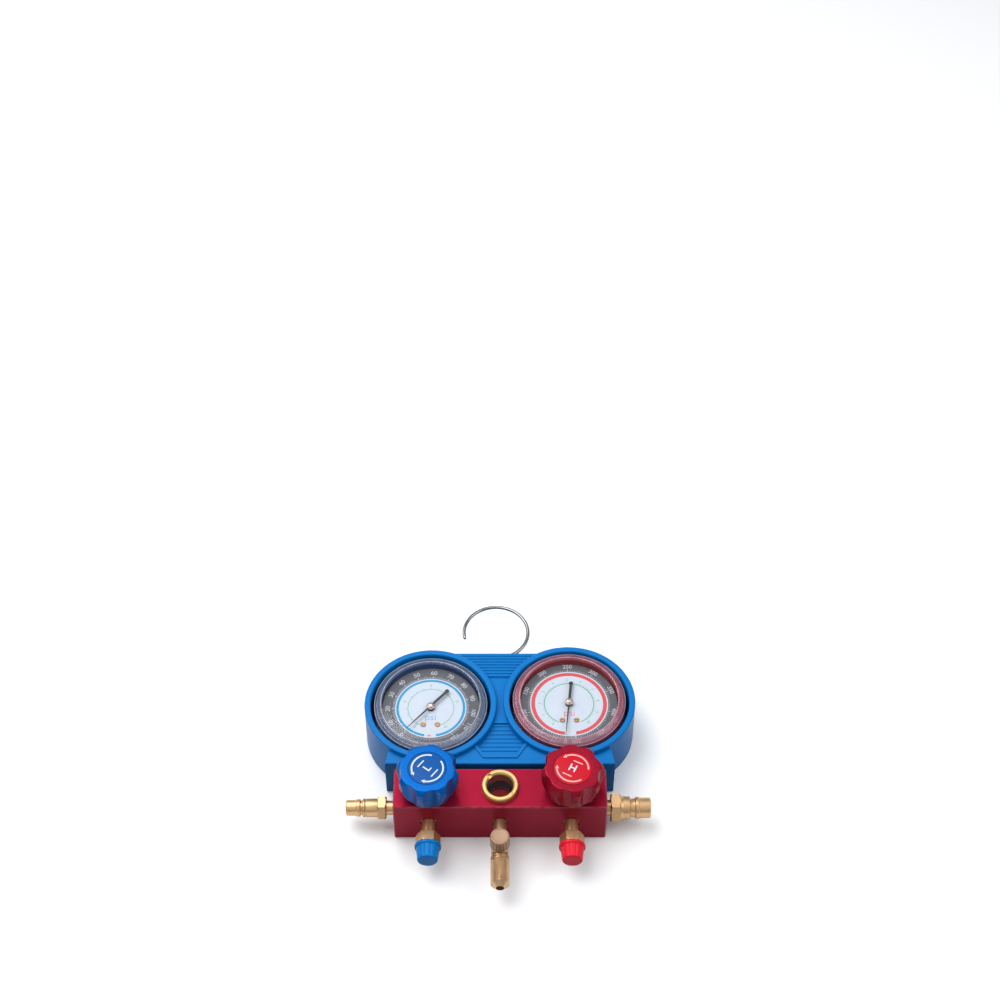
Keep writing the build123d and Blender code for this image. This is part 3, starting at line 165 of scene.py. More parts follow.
class Shape:
    """Vertices and faces in millimetres, each face with the number of its finish."""

    def __init__(self):
        self.points, self.faces, self.finishes = [], [], []

    def add(self, points, faces, finish=0, matrix=None):
        base = len(self.points)
        self.points += [matrix @ Vector(p) for p in points] if matrix else [Vector(p) for p in points]
        self.faces += [[base + corner for corner in face] for face in faces]
        self.finishes += [finish] * len(faces)
        return self

    def lathe(self, profile, radius_at=None, steps=96, closed=False, finish=0, matrix=None):
        """Turns a (radius, height) profile about Z; radius_at may shape it round the axis."""
        points, rings = [], []
        for radius, height in profile:
            if radius < 1e-6:
                rings.append([len(points)] * steps)
                points.append((0, 0, height))
                continue
            ring = []
            for step in range(steps):
                angle = 360 * step / steps
                r = radius_at(radius, height, angle) if radius_at else radius
                ring.append(len(points))
                points.append((*polar(r, angle), height))
            rings.append(ring)
        pairs = list(zip(rings, rings[1:])) + ([(rings[-1], rings[0])] if closed else [])
        faces = []
        for low, high in pairs:
            for step in range(steps):
                corners = [low[step], low[(step + 1) % steps], high[(step + 1) % steps], high[step]]
                face = list(dict.fromkeys(corners))
                if len(face) > 2:
                    faces.append(face)
        return self.add(points, faces, finish, matrix)

    def sector(self, inner, outer, start, end, low, high, finish=0, matrix=None):
        """Raised arc between two radii and two directions."""
        parts = max(2, int(abs(end - start) / 3))
        points = []
        for step in range(parts + 1):
            angle = start + (end - start) * step / parts
            for radius, height in ((inner, low), (outer, low), (outer, high), (inner, high)):
                points.append((*polar(radius, angle), height))
        faces = [[0, 1, 2, 3], [4 * parts + c for c in (3, 2, 1, 0)]]
        for step in range(parts):
            a, b = 4 * step, 4 * step + 4
            faces += [[a + c, b + c, b + (c + 1) % 4, a + (c + 1) % 4] for c in range(4)]
        return self.add(points, faces, finish, matrix)

    def prism(self, outline, low, high, finish=0, matrix=None):
        """Flat outline raised between two heights."""
        count = len(outline)
        points = [(x, y, low) for x, y in outline] + [(x, y, high) for x, y in outline]
        faces = [list(range(count))[::-1], list(range(count, 2 * count))]
        for corner in range(count):
            after = (corner + 1) % count
            faces.append([corner, after, count + after, count + corner])
        return self.add(points, faces, finish, matrix)

    def bar(self, x, y, length, width, turn, low, high, finish=0, matrix=None):
        """Flat bar about x, y, its length turned by an angle."""
        along, across = Vector(polar(length / 2, turn)), Vector(polar(width / 2, turn + 90))
        corners = [Vector((x, y)) + along * a + across * b for a, b in SQUARE]
        return self.prism(corners, low, high, finish, matrix)

    def words(self, text, x, y, height, turn, low, thick, finish=0, matrix=None, weight=0.0):
        """Lettering raised from a face, centred at x, y and turned about it."""
        curve = bpy.data.curves.new("lettering", "FONT")
        curve.body = text
        curve.size = height / 0.7
        curve.offset = weight
        curve.extrude = thick / 2
        curve.align_x = "CENTER"
        curve.align_y = "CENTER"
        curve.resolution_u = 4
        holder = bpy.data.objects.new("lettering", curve)
        mesh = bpy.data.meshes.new_from_object(holder)
        stand = Matrix.Translation((x, y, low + thick / 2)) @ Matrix.Rotation(radians(turn), 4, "Z")
        if matrix:
            stand = matrix @ stand
        self.add([v.co for v in mesh.vertices], [list(p.vertices) for p in mesh.polygons], finish, stand)
        bpy.data.objects.remove(holder)
        bpy.data.curves.remove(curve)
        bpy.data.meshes.remove(mesh)
        return self

    def piece(self, name, finishes, sharp=32.0):
        """Mesh object in metres with one material slot per finish."""
        mesh = bpy.data.meshes.new(name)
        mesh.from_pydata([p * MM for p in self.points], [], self.faces)
        for finish in finishes:
            mesh.materials.append(finish)
        mesh.polygons.foreach_set("material_index", self.finishes)
        mesh.polygons.foreach_set("use_smooth", [True] * len(self.faces))
        mesh.validate()
        mesh.update()
        mesh.set_sharp_from_angle(angle=radians(sharp))
        made = bpy.data.objects.new(name, mesh)
        bpy.context.scene.collection.objects.link(made)
        return made


def hexagonal(across):
    """Radius of a wrench hexagon, kept inside the turned profile."""
    def radius_at(radius, height, angle):
        return min(radius, across / 2 / cos(radians((angle + 30) % 60 - 30)))
    return radius_at


def threaded(pitch, depth, low, high):
    """Radius of a screw thread cut between two heights."""
    def radius_at(radius, height, angle):
        if not low < height < high:
            return radius
        turn = (height / pitch - angle / 360) % 1.0
        return radius - depth * (1 - abs(2 * turn - 1) ** 0.8)
    return radius_at


def thread_rings(radius, low, high, pitch):
    """Profile points close enough together to carry a thread."""
    count = int((high - low) / pitch * 8)
    return [(radius, low + (high - low) * step / count) for step in range(count + 1)]


# ---- shader expressions ----
def feed(tree, slot, value):
    """Links a signal into a socket, or gives the socket a constant."""
    if isinstance(value, Signal):
        tree.links.new(value.socket, slot)
    else:
        slot.default_value = value


class Signal:
    """A value that varies over a surface; arithmetic on it adds Math nodes."""

    def __init__(self, tree, socket):
        self.tree, self.socket = tree, socket

    def math(self, operation, first, second=None):
        made = self.tree.nodes.new("ShaderNodeMath")
        made.operation = operation
        for slot, value in zip(made.inputs, (first, second)):
            if value is not None:
                feed(self.tree, slot, value)
        return Signal(self.tree, made.outputs[0])

    def __add__(self, other):
        return self.math("ADD", self, other)

    __radd__ = __add__

    def __sub__(self, other):
        return self.math("SUBTRACT", self, other)

    def __rsub__(self, other):
        return self.math("SUBTRACT", other, self)

    def __mul__(self, other):
        return self.math("MULTIPLY", self, other)

    __rmul__ = __mul__

    def __truediv__(self, other):
        return self.math("DIVIDE", self, other)

    def __pow__(self, other):
        return self.math("POWER", self, other)

    def __abs__(self):
        return self.math("ABSOLUTE", self)

    def clipped(self):
        """The value kept between 0 and 1."""
        made = self.math("ADD", self, 0.0)
        made.socket.node.use_clamp = True
        return made


class Finish:
    """A material being mixed: its node tree and its surface shader."""

    def __init__(self, name, tree=None):
        if not tree:
            self.material = bpy.data.materials.new(name)
            self.material.use_nodes = True
            tree = self.material.node_tree
        self.tree = tree
        self.shader = tree.nodes.get("Principled BSDF")

    def node(self, kind, settings=None, inputs=None, output=0):
        """Adds a node: first its settings, then the values or links of its sockets."""
        made = self.tree.nodes.new(kind)
        for name, value in (settings or {}).items():
            if name == "stops":
                ramp = made.color_ramp
                while len(ramp.elements) < len(value):
                    ramp.elements.new(1.0)
                for stop, (position, colour) in zip(ramp.elements, value):
                    stop.position, stop.color = position, (*colour, 1.0)
            else:
                setattr(made, name, value)
        for name, value in (inputs or {}).items():
            feed(self.tree, made.inputs[name], value)
        return Signal(self.tree, made.outputs[output])

    def set(self, **values):
        """Constants and links of the surface shader, named with underscores for blanks."""
        for name, value in values.items():
            feed(self.tree, self.shader.inputs[name.replace("_", " ")], value)
        return self

    def rays(self):
        """Masks of the rays that come from the camera, from a mirror and through glass."""
        path = self.node("ShaderNodeLightPath").socket.node
        return [Signal(self.tree, path.outputs[f"Is {kind} Ray"])
                for kind in ("Camera", "Glossy", "Transmission")]

    def spot(self, kind="Object"):
        return self.node("ShaderNodeTexCoord", output=kind)

    def axes(self, kind="Object"):
        """X, Y and Z of the place on the surface."""
        split = self.node("ShaderNodeSeparateXYZ", inputs={0: self.spot(kind)})
        outputs = split.socket.node.outputs
        return [Signal(self.tree, outputs[axis]) for axis in range(3)]

    def noise(self, grain, detail=2.0, stretch=(1, 1, 1)):
        """Noise with grains of the given size in millimetres."""
        spread = [1 / (grain * MM * factor) for factor in stretch]
        where = self.node("ShaderNodeVectorMath", {"operation": "MULTIPLY"}, {0: self.spot(), 1: spread})
        return self.node("ShaderNodeTexNoise", {}, {"Vector": where, "Scale": 1.0, "Detail": detail})

    def blend(self, mask, first, second):
        """Colour that goes from the first to the second as the mask goes from 0 to 1."""
        ends = [end if isinstance(end, Signal) else (*end, 1.0) for end in (first, second)]
        sockets = {0: mask, 6: ends[0], 7: ends[1]}
        return self.node("ShaderNodeMix", {"data_type": "RGBA"}, sockets, output=2)

    def bump(self, height, depth):
        """Normal of a relief whose full height is depth millimetres."""
        return self.node("ShaderNodeBump", {}, {"Strength": 1.0, "Distance": depth * MM, "Height": height})


def tone(colour, factor):
    """Colour made darker or lighter by a factor."""
    return tuple(min(1.0, channel * factor) for channel in colour)


def moulded(name, colour, roughness=0.4, grain=0.35, depth=0.012, gloss=0.12):
    """Injection-moulded plastic: fine skin texture, faint flow marks and handling sheen."""
    finish = Finish(name)
    flow = finish.noise(14, 3)
    cloud = finish.noise(45, 2)
    skin = finish.noise(grain, 2)
    mask = (cloud * 0.7 + flow * 0.3 - 0.2).clipped()
    finish.set(Base_Color=finish.blend(mask, tone(colour, 0.9), tone(colour, 1.08)),
               Roughness=(roughness - 0.1 + 0.16 * flow + 0.08 * skin).clipped(),
               Normal=finish.bump(skin + 0.6 * flow, depth), IOR=1.5, Specular_IOR_Level=gloss)
    return finish.material


def anodised(name, colour, dark, roughness, brushed, arris_wear_and_highlight=None):
    """Dyed anodised aluminium: satin, finely machined; the optional mask of its pale arrises paints edge
    wear and an edge highlight together.
    """
    finish = Finish(name)
    lines = finish.noise(0.3, 2, brushed)
    cloud = finish.noise(22, 3)
    scuff = finish.noise(3.5, 4)
    mask = (cloud * 0.8 + lines * 0.4 - 0.1).clipped()
    shade = finish.blend(mask, tone(colour, dark), tone(colour, 1.12))
    if arris_wear_and_highlight:
        # Pale arrises: part edge wear, part painted edge highlight.
        shade = finish.blend(arris_wear_and_highlight(finish, scuff), shade, (colour[0], 0.22, 0.26))
    finish.set(Base_Color=shade, Metallic=0.42,
               Roughness=(roughness - 0.06 + 0.14 * scuff + 0.08 * lines).clipped(),
               Normal=finish.bump(lines * 0.8 + scuff * 0.3, 0.004), Specular_IOR_Level=0.08)
    return finish.material


def turned_metal(name, colour, roughness, axis):
    """Lathe-turned metal: fine tool rings across its axis, tarnish in patches."""
    finish = Finish(name)
    stretch = [30.0, 30.0, 30.0]
    stretch[axis] = 1.0
    rings = finish.noise(0.25, 2, stretch)
    patch = finish.noise(5, 4)
    speck = finish.noise(0.6, 3)
    mask = (patch * 1.3 - 0.25).clipped()
    shade = finish.blend(mask, tone(colour, 0.8), tone(colour, 1.06))
    finish.set(Base_Color=shade, Metallic=0.86, Specular_IOR_Level=0.3,
               Roughness=(roughness + 0.16 * patch + 0.08 * speck - 0.06).clipped(),
               Normal=finish.bump(rings + 0.25 * speck, 0.003))
    return finish.material


def stamped_metal(name, colour, roughness=0.3):
    """Sheet or drawn metal: fine grain in every direction and light staining."""
    finish = Finish(name)
    grain = finish.noise(0.25, 3)
    stain = finish.noise(6, 3)
    finish.set(Base_Color=finish.blend(stain, tone(colour, 0.8), tone(colour, 1.08)), Metallic=1.0,
               Roughness=(roughness + 0.18 * stain - 0.04 + 0.06 * grain).clipped(),
               Normal=finish.bump(grain, 0.005))
    return finish.material


def rubber(name, colour):
    """Seal rubber with a dull bloom."""
    finish = Finish(name)
    grain = finish.noise(0.4, 3)
    bloom = finish.noise(4, 3)
    finish.set(Base_Color=finish.blend(bloom, tone(colour, 0.8), tone(colour, 1.5)),
               Roughness=(0.6 + 0.25 * bloom).clipped(), Normal=finish.bump(grain, 0.02))
    return finish.material


def printed(name, colour, roughness=0.5):
    """Screen-printed enamel on a gauge face."""
    finish = Finish(name)
    ink = finish.noise(0.5, 3)
    cloud = finish.noise(9, 2)
    finish.set(Base_Color=finish.blend(cloud, tone(colour, 0.93), tone(colour, 1.04)),
               Roughness=(roughness - 0.05 + 0.12 * ink).clipped(), Normal=finish.bump(ink, 0.003))
    return finish.material


def clear_plastic(name, tint, roughness):
    """Clear window: see-through, with reflections that grow at grazing angles, alike on both its faces."""
    finish = Finish(name)
    scratch = finish.noise(0.8, 4, (1, 12, 12))
    clear = finish.node("ShaderNodeBsdfTransparent", {}, {"Color": (*tint, 1.0)})
    normal = finish.bump(finish.noise(20, 2), 0.004)
    shine = finish.node("ShaderNodeBsdfGlossy", {}, {"Color": (1, 1, 1, 1), "Normal": normal})
    shine.socket.node.inputs["Roughness"].default_value = roughness
    slant = finish.node("ShaderNodeLayerWeight", {}, {"Blend": 0.5, "Normal": normal}, output=1)
    factor = (0.9 * slant ** 5 + 0.012 + 0.008 * scratch).clipped()
    mixed = finish.node("ShaderNodeMixShader", {}, {0: factor, 1: clear, 2: shine})
    output = finish.tree.nodes["Material Output"]
    finish.tree.links.new(mixed.socket, output.inputs["Surface"])
    finish.tree.nodes.remove(finish.shader)
    return finish.material


def clouded_plastic(name, tint, cover):
    """Half see-through plastic whose tint is painted light: on a window rim it paints the case's colour and
    the shade seen through the clear edge, on the thin rings a highlight.
    """
    finish = Finish(name)
    swirl = finish.noise(5, 2)
    fine = finish.noise(0.7, 3)
    finish.set(Base_Color=finish.blend(swirl, tone(tint, 0.7), tone(tint, 1.25)),
               Roughness=(0.05 + 0.08 * fine).clipped(), Alpha=(cover - 0.12 + 0.24 * swirl).clipped(),
               Normal=finish.bump(fine, 0.0003), IOR=1.6, Specular_IOR_Level=0.6)
    return finish.material


def block_arrises(finish, scuff):
    """Mask of the block's pale arrises, from its own size: part edge wear, part painted edge highlight."""
    near = []
    for value, centre, half in zip(finish.axes(), (0.0, 0.0, BLOCK_HALF[2]), BLOCK_HALF):
        reach = half * MM - abs(value - centre * MM)
        near.append((1 - reach / (0.9 * MM)).clipped())
    edges = near[0] * near[1] + near[1] * near[2] + near[0] * near[2]
    return (edges * (scuff * 1.6 - 0.35)).clipped()


# ---- sizes and colours a user may change ----
def colour_property(name, description, default):
    return FloatVectorProperty(name=name, description=description, default=default, subtype="COLOR",
                               size=3, min=0.0, max=1.0)


def length_property(name, description, default):
    return FloatProperty(name=name, description=description, default=default, min=0.0, precision=2)


class ManifoldColours(bpy.types.PropertyGroup):
    """Colours of the plastics, metals and prints."""
    housing: colour_property("Housing", "Colour of the gauge housing", (0.0, 0.150, 0.455))
    block: colour_property("Block", "Dye of the manifold block", (0.30, 0.006, 0.028))
    low_wheel: colour_property("Low wheel", "Dye of the low-side handwheel", (0.0, 0.090, 0.35))
    high_wheel: colour_property("High wheel", "Dye of the high-side handwheel", (0.26, 0.006, 0.022))
    low_cap: colour_property("Low cap", "Colour of the low-side thread cap", (0.0, 0.17, 0.50))
    high_cap: colour_property("High cap", "Colour of the high-side thread cap", (0.72, 0.015, 0.035))
    brass: colour_property("Brass", "Colour of the hose ports and posts", (0.68, 0.43, 0.22))
    centre: colour_property("Centre brass", "Colour of the charging port", (0.62, 0.40, 0.23))


class ManifoldWheel(bpy.types.PropertyGroup):
    """Handwheel shape."""
    radius: length_property("Radius", "Radius over the lobes, in millimetres", 18.3)
    lobes: IntProperty(name="Lobes", description="Number of finger lobes", default=8, min=3, max=16)
    scallop: length_property("Scallop", "Radius of each finger scallop, in millimetres", 6.6)
    depth: length_property("Depth", "Depth of each scallop, in millimetres", 3.1)


class ManifoldGauge(bpy.types.PropertyGroup):
    """Gauge faces."""
    numeral: length_property("Numeral height", "Height of the dial numerals, in millimetres", 2.9)


class ManifoldSettings(bpy.types.PropertyGroup):
    """Everything a user may change on the manifold."""
    colours: PointerProperty(type=ManifoldColours)
    wheel: PointerProperty(type=ManifoldWheel)
    gauge: PointerProperty(type=ManifoldGauge)


FINISHES = {}


def finish(name):
    """A mixed finish, by its name."""
    if name not in FINISHES:
        raise RuntimeError(f"no finish is named {name}: build the finishes first")
    return FINISHES[name]


def stand_in(made, body, *nodes, slot=None):
    """Puts a piece under its body and hides the nodes that it stands for."""
    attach(made, body)
    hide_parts(*nodes)
    return made


# ---- operators ----
class MANIFOLD_OT_finishes(bpy.types.Operator):
    """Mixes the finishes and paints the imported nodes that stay"""
    bl_idname = "manifold.finishes"
    bl_label = "Finishes"

    def execute(self, context):
        colours = context.scene.manifold.colours
        recipes = (
            (moulded, "shell_blue", colours.housing, 0.34),
            (moulded, "cover_blue", tone(colours.housing, 0.9), 0.42, 0.5),
            (anodised, "block_red", colours.block, 0.8, 0.3, (14, 1, 14), block_arrises),
            (anodised, "wheel_blue", colours.low_wheel, 0.85, 0.24, (8, 8, 1)),
            (anodised, "wheel_red", colours.high_wheel, 0.85, 0.24, (8, 8, 1)),
            (moulded, "badge_blue", tone(colours.low_wheel, 0.85), 0.32, 0.3, 0.004),
            (moulded, "badge_red", (0.50, 0.007, 0.018), 0.32, 0.3, 0.004),
            (printed, "badge_white", (0.55, 0.60, 0.70), 0.4),
            (printed, "badge_pink", (0.72, 0.34, 0.35), 0.4),
            (moulded, "cap_blue", colours.low_cap, 0.3, 0.6),
            (moulded, "cap_red", colours.high_cap, 0.3, 0.6),
            (turned_metal, "brass", colours.brass, 0.3, 1),
            (turned_metal, "brass_x", colours.brass, 0.3, 0),
            (turned_metal, "brass_z", (0.66, 0.43, 0.17), 0.3, 2),
            (turned_metal, "centre_brass", colours.centre, 0.32, 1),
            (turned_metal, "centre_brass_z", (0.36, 0.23, 0.15), 0.42, 2),
            (stamped_metal, "screw_brass", (0.50, 0.30, 0.16), 0.4),
            (stamped_metal, "movement_brass", (0.82, 0.66, 0.36)),
            (stamped_metal, "tube_bronze", (0.74, 0.50, 0.30), 0.34),
            (stamped_metal, "steel", (0.62, 0.63, 0.65), 0.26),
            (stamped_metal, "hook_steel", (0.28, 0.29, 0.30), 0.1),
            (moulded, "case_blue", (0.02, 0.10, 0.34), 0.3, 0.4),
            (moulded, "case_red", (0.62, 0.02, 0.05), 0.3, 0.4),
            (clear_plastic, "clear_lens", (0.97, 0.98, 1.0), 0.04),
            # Rim tints: the case's colour and the shade seen through the clear rim, painted into the rim.
            (clouded_plastic, "low_rim", (0.20, 0.24, 0.34), 0.36),
            (clouded_plastic, "high_rim", (0.42, 0.18, 0.24), 0.42),
            # Pale tints of the thin rings on the window rims: painted highlight lines.
            (clouded_plastic, "low_bead", (0.52, 0.56, 0.64), 0.6),
            (clouded_plastic, "high_bead", (0.66, 0.42, 0.48), 0.6),
            (turned_metal, "hub_brass", (0.62, 0.48, 0.38), 0.3, 2),
            (clear_plastic, "sight_glass", (0.86, 0.84, 0.86), 0.02),
            (printed, "pointer_black", (0.015, 0.015, 0.018), 0.35),
            (rubber, "seal_rubber", (0.02, 0.02, 0.02)),
            (moulded, "seat_plastic", (0.80, 0.80, 0.77), 0.45),
            (moulded, "spacer_black", (0.03, 0.03, 0.035), 0.5),
            (printed, "dial_white", (0.56, 0.60, 0.64), 0.45),
            # Charcoal print, lightened a little to paint the window's reflected veil over it.
            (printed, "dial_charcoal", (0.088, 0.086, 0.090), 0.5),
            (printed, "dial_blue", (0.0, 0.27, 0.47), 0.5),
            (printed, "word_blue", (0.20, 0.36, 0.58), 0.5),
            (printed, "word_red", (0.70, 0.24, 0.24), 0.5),
            # Red much lighter than the block's dye, for the bowl under the sight glass: a painted glint.
            (moulded, "chamber_red", (0.85, 0.03, 0.08), 0.25, 0.4, 0.006, 0.5),
            (printed, "dial_red", (0.66, 0.05, 0.05), 0.5),
            (printed, "dial_green", (0.14, 0.42, 0.24), 0.5),
            (printed, "dial_orange", (0.70, 0.24, 0.10), 0.5),
            (printed, "dial_figures", (0.48, 0.50, 0.52), 0.5),
        )
        FINISHES.update({name: mix(name, *values) for mix, name, *values in recipes})
        turned_along = {"sight_ring": "brass_z", "low_bonnet": "brass_z", "high_bonnet": "brass_z",
                        "low_valve_stem": "brass_z", "high_valve_stem": "brass_z",
                        "low_post": "brass_x", "high_post": "brass_x", "dial_screws": "screw_brass"}
        by_slot = {"dial_low": "dial_white", "dial_high": "dial_white"}
        slots = {row["node"]: row["material_slot"] for row in RECORD["subparts"]}
        for name, node in NODES.items():
            chosen = turned_along.get(name, by_slot.get(slots[name], slots[name]))
            for slot in node.material_slots:
                slot.material = finish(chosen)
        return {"FINISHED"}


def scalloped(wheel, phase):
    """Radius of the lobed wheel: the drum less its finger scallops, with eased edges."""
    pitch = 360 / wheel.lobes
    reach = wheel.radius - wheel.depth + wheel.scallop
    ease = 0.55

    def radius_at(radius, height, angle):
        if radius < 13.4:
            return radius
        swing = radians((angle - phase) % pitch - pitch / 2)
        across = reach * sin(swing)
        if abs(across) >= wheel.scallop:
            return radius
        cut = reach * cos(swing) - sqrt(wheel.scallop ** 2 - across ** 2)
        gap = max(ease - abs(radius - cut), 0.0) / ease
        return min(radius, cut) - gap * gap * ease / 4
    return radius_at


class MANIFOLD_OT_handwheels(bpy.types.Operator):
    """Builds both lobed handwheels and their badges"""
    bl_idname = "manifold.handwheels"
    bl_label = "Handwheels"

    def execute(self, context):
        wheel = context.scene.manifold.wheel
        for side, sign in SIDES:
            low, top = (corner.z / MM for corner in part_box(f"{side}_handwheel"))
            stand = place((sign * STATION, 0, 0))
            hub = low + 5.5
            profile = softened([
                (2.95, hub), (12.5, hub, 0.4), (12.5, low + 0.8), (13.3, low, 0.2), (15.9, low, 0.3),
                (16.3, low + 0.7, 0.5), (wheel.radius, low + 8.75, 2.5), (wheel.radius, top - 2.3, 0.7),
                (16.0, top, 0.5), (11.35, top, 0.12), (11.05, top - 0.3, 0.1), (11.05, top - 0.6),
                (3.9, top - 0.6), (3.9, hub + 6.8), (2.95, hub + 6.8)])
            hue = DIALS[side].colour
            body = Shape().lathe(divided(profile, 0.8, True), scalloped(wheel, LOBE_PHASE[side]), steps=320,
                                 closed=True, matrix=stand)
            stand_in(body.piece(f"{side}_wheel", [finish(f"wheel_{hue}")], 35), f"{side}_handwheel",
                     f"{side}_handwheel", slot=f"wheel_{hue}")
            self.badge(side, stand, top - 0.1, hue)
        return {"FINISHED"}

    def badge(self, side, stand, top, hue):
        """Printed disc: two arrows round the rim, the side's letter and two plain bars."""
        disc = Shape().lathe(
            softened([(0, top - 0.5), (11.0, top - 0.5), (11.0, top - 0.05, 0.12), (0, top - 0.05)]),
            steps=128, matrix=stand)
        low, high = top - 0.06, top
        if side == "low":
            arcs, letter, turn = ((75, 200, 1), (33, -99, -1)), "L", 52
            bars = ((-3.9, 3.1, 5.6, 52), (4.2, -3.3, 6.2, 52))
        else:
            arcs, letter, turn = ((-6, 113, 1), (-59, -181, -1)), "H", -26
            bars = ((3.3, 3.9, 5.8, -26), (-3.4, -4.3, 5.8, -28))
        for start, end, sense in arcs:
            disc.sector(8.65, 9.6, start, end, low, high, 1, stand)
            head = [polar(9.12, end + sense * 13), polar(7.9, end - sense), polar(10.3, end - sense)]
            disc.prism(head if sense < 0 else head[::-1], low, high, 1, stand)
        disc.words(letter, 0, 0, 4.6, turn, low, high - low, 2, stand, 0.12)
        for x, y, length, tilt in bars:
            disc.bar(x, y, length, 0.75, tilt, low, high, 1, stand)
        arrow = "badge_white" if side == "low" else "badge_pink"
        finishes = [finish(f"badge_{hue}"), finish(arrow), finish("badge_white")]
        stand_in(disc.piece(f"{side}_wheel_badge", finishes, 30), f"{side}_handwheel", f"{side}_badge",
                 slot=f"badge_{hue}")


class MANIFOLD_OT_gauges(bpy.types.Operator):
    """Builds the printed gauge faces, the needles and the clear windows"""
    bl_idname = "manifold.gauges"
    bl_label = "Gauges"

    def execute(self, context):
        for side, sign in SIDES:
            stand = place((sign * STATION, middle(f"{side}_dial").y, PORT_Z))
            self.face(side, stand, context.scene.manifold.gauge.numeral)
            self.needle(side, stand)
            self.window(side, stand)
        return {"FINISHED"}

    def face(self, side, stand, numeral):
        """Dial plate with its printed bands and scales."""
        dial = DIALS[side]
        hole, ring_inner, ring_outer, dark_inner = dial.bands
        full = (-180, 180)
        zones = ((hole, ring_inner, full, WHITE),
                 (ring_inner, ring_outer, (dial.gap[1] - 360, dial.gap[0]), RING),
                 (ring_inner, ring_outer, dial.gap, WHITE),
                 (ring_outer, dark_inner, full, WHITE),
                 (dark_inner, DIAL_REACH, full, DARK))
        plate = Shape()
        plate.lathe([(hole, DIAL_TOP), (hole, DIAL_BACK), (DIAL_REACH, DIAL_BACK), (DIAL_REACH, DIAL_TOP)],
                    steps=180, finish=WHITE, matrix=stand)
        for inner, outer, (start, end), tint in zones:
            self.zone(plate, inner, outer, start, end, tint, stand)
        self.pressure_scale(plate, dial, numeral, stand)
        if side == "low":
            plate.sector(19.6, 20.8, 265, 271, DIAL_TOP, DIAL_TOP + PRINT, ORANGE, stand)
        self.inner_scale(plate, dial, stand)
        plate.words("psi", 0, -6.9, 4.6, 0, DIAL_TOP, PRINT, WORD, stand)
        plate.sector(dial.circle - dial.line, dial.circle + dial.line, -62, 245, DIAL_TOP, DIAL_TOP + PRINT,
                     GREEN, stand)
        names = ("dial_white", "dial_charcoal", f"dial_{dial.colour}", "dial_green", "dial_orange",
                 "dial_figures", f"word_{dial.colour}")
        made = plate.piece(f"{side}_gauge_face", [finish(name) for name in names], 30)
        stand_in(made, "manifold", f"{side}_dial", slot=f"dial_{side}")

    def zone(self, plate, inner, outer, start, end, tint, stand):
        """Flat printed zone of the face between two radii and two directions."""
        parts = max(2, int((end - start) / 2))
        points, faces = [], []
        for step in range(parts + 1):
            angle = start + (end - start) * step / parts
            points += [(*polar(inner, angle), DIAL_TOP), (*polar(outer, angle), DIAL_TOP)]
            if step:
                last = 2 * step
                faces.append([last - 2, last - 1, last + 1, last])
        plate.add(points, faces, tint, stand)

    def mark(self, plate, radius, angle, length, width, tint, stand):
        """Printed tick that points at the dial's middle."""
        plate.bar(*polar(radius, angle), length, width, angle, DIAL_TOP, DIAL_TOP + PRINT, tint, stand)

    def pressure_scale(self, plate, dial, numeral, stand):
        """Ticks and numerals of the pressure scale, then the dense marks at the foot of the dial."""
        for value in range(0, dial.last + 1, dial.finest):
            angle = dial.zero + dial.degrees * value
            major = value % dial.labelled == 0
            half = not major and value % (dial.labelled // 2) == 0
            length = (dial.tick_end - dial.tick_foot) * (1.0 if major else 0.8 if half else 0.6)
            width = 0.42 if major else 0.26
            self.mark(plate, dial.tick_foot + length / 2, angle, length, width, FIGURES, stand)
            if major:
                height = numeral if value < 100 else numeral * 0.92
                plate.words(str(value), *polar(dial.numeral_ring, angle), height, angle - 90,
                            DIAL_TOP, PRINT, FIGURES, stand, 0.05)
        for number in range(dial.dense_marks):
            angle = dial.dense_start + dial.dense_gap * number
            self.mark(plate, dial.dense_ring, angle, 1.6, dial.dense_width, FIGURES, stand)

    def inner_scale(self, plate, dial, stand):
        """Small scale printed outside the inner circle."""
        for number in range(dial.marks):
            angle = 236 - number * dial.mark_gap
            self.mark(plate, dial.circle + 0.8, angle, 1.2, 0.2, GREEN, stand)
            if number % dial.mark_labelled == 0:
                text = str(number // dial.mark_labelled * dial.mark_value)
                plate.words(text, *polar(dial.circle + 2.7, angle), 1.7, angle - 90,
                            DIAL_TOP, PRINT, GREEN, stand, 0.02)

    def needle(self, side, stand):
        """Thin needle with a heavy round-ended tail and a bright domed hub."""
        dial = DIALS[side]
        tip, tail, neck = dial.needle, dial.tail, dial.needle * 0.6
        turn = stand @ Matrix.Rotation(radians(dial.zero), 4, "Z")
        blade = Shape()
        blade.prism([(0, -0.62), (neck, -0.34), (tip, -0.12), (tip, 0.12), (neck, 0.34), (0, 0.62)],
                    NEEDLE_BACK + 0.02, NEEDLE_TOP - 0.04, 0, turn)
        outline = [(0, 0.8), (-tail + 1.0, 0.8)]
        outline += [(-tail + 1.35 * cos(radians(a)), 1.35 * sin(radians(a))) for a in range(50, 311, 20)]
        outline += [(-tail + 1.0, -0.8), (0, -0.8)]
        blade.prism(outline, NEEDLE_BACK, NEEDLE_TOP, 0, turn)
        hub = softened([
            (0.82, 13.1), (2.5, 13.1, 0.1), (2.5, 13.9, 0.3), (2.1, 14.2, 0.2), (1.9, 14.2, 0.2),
            (1.6, 14.8, 0.35), (0.82, 15.0)])
        blade.lathe(hub, steps=64, closed=True, finish=1, matrix=turn)
        made = blade.piece(f"{side}_needle", [finish("pointer_black"), finish("hub_brass")], 35)
        stand_in(made, f"{side}_pointer", f"{side}_pointer", slot="pointer_black")

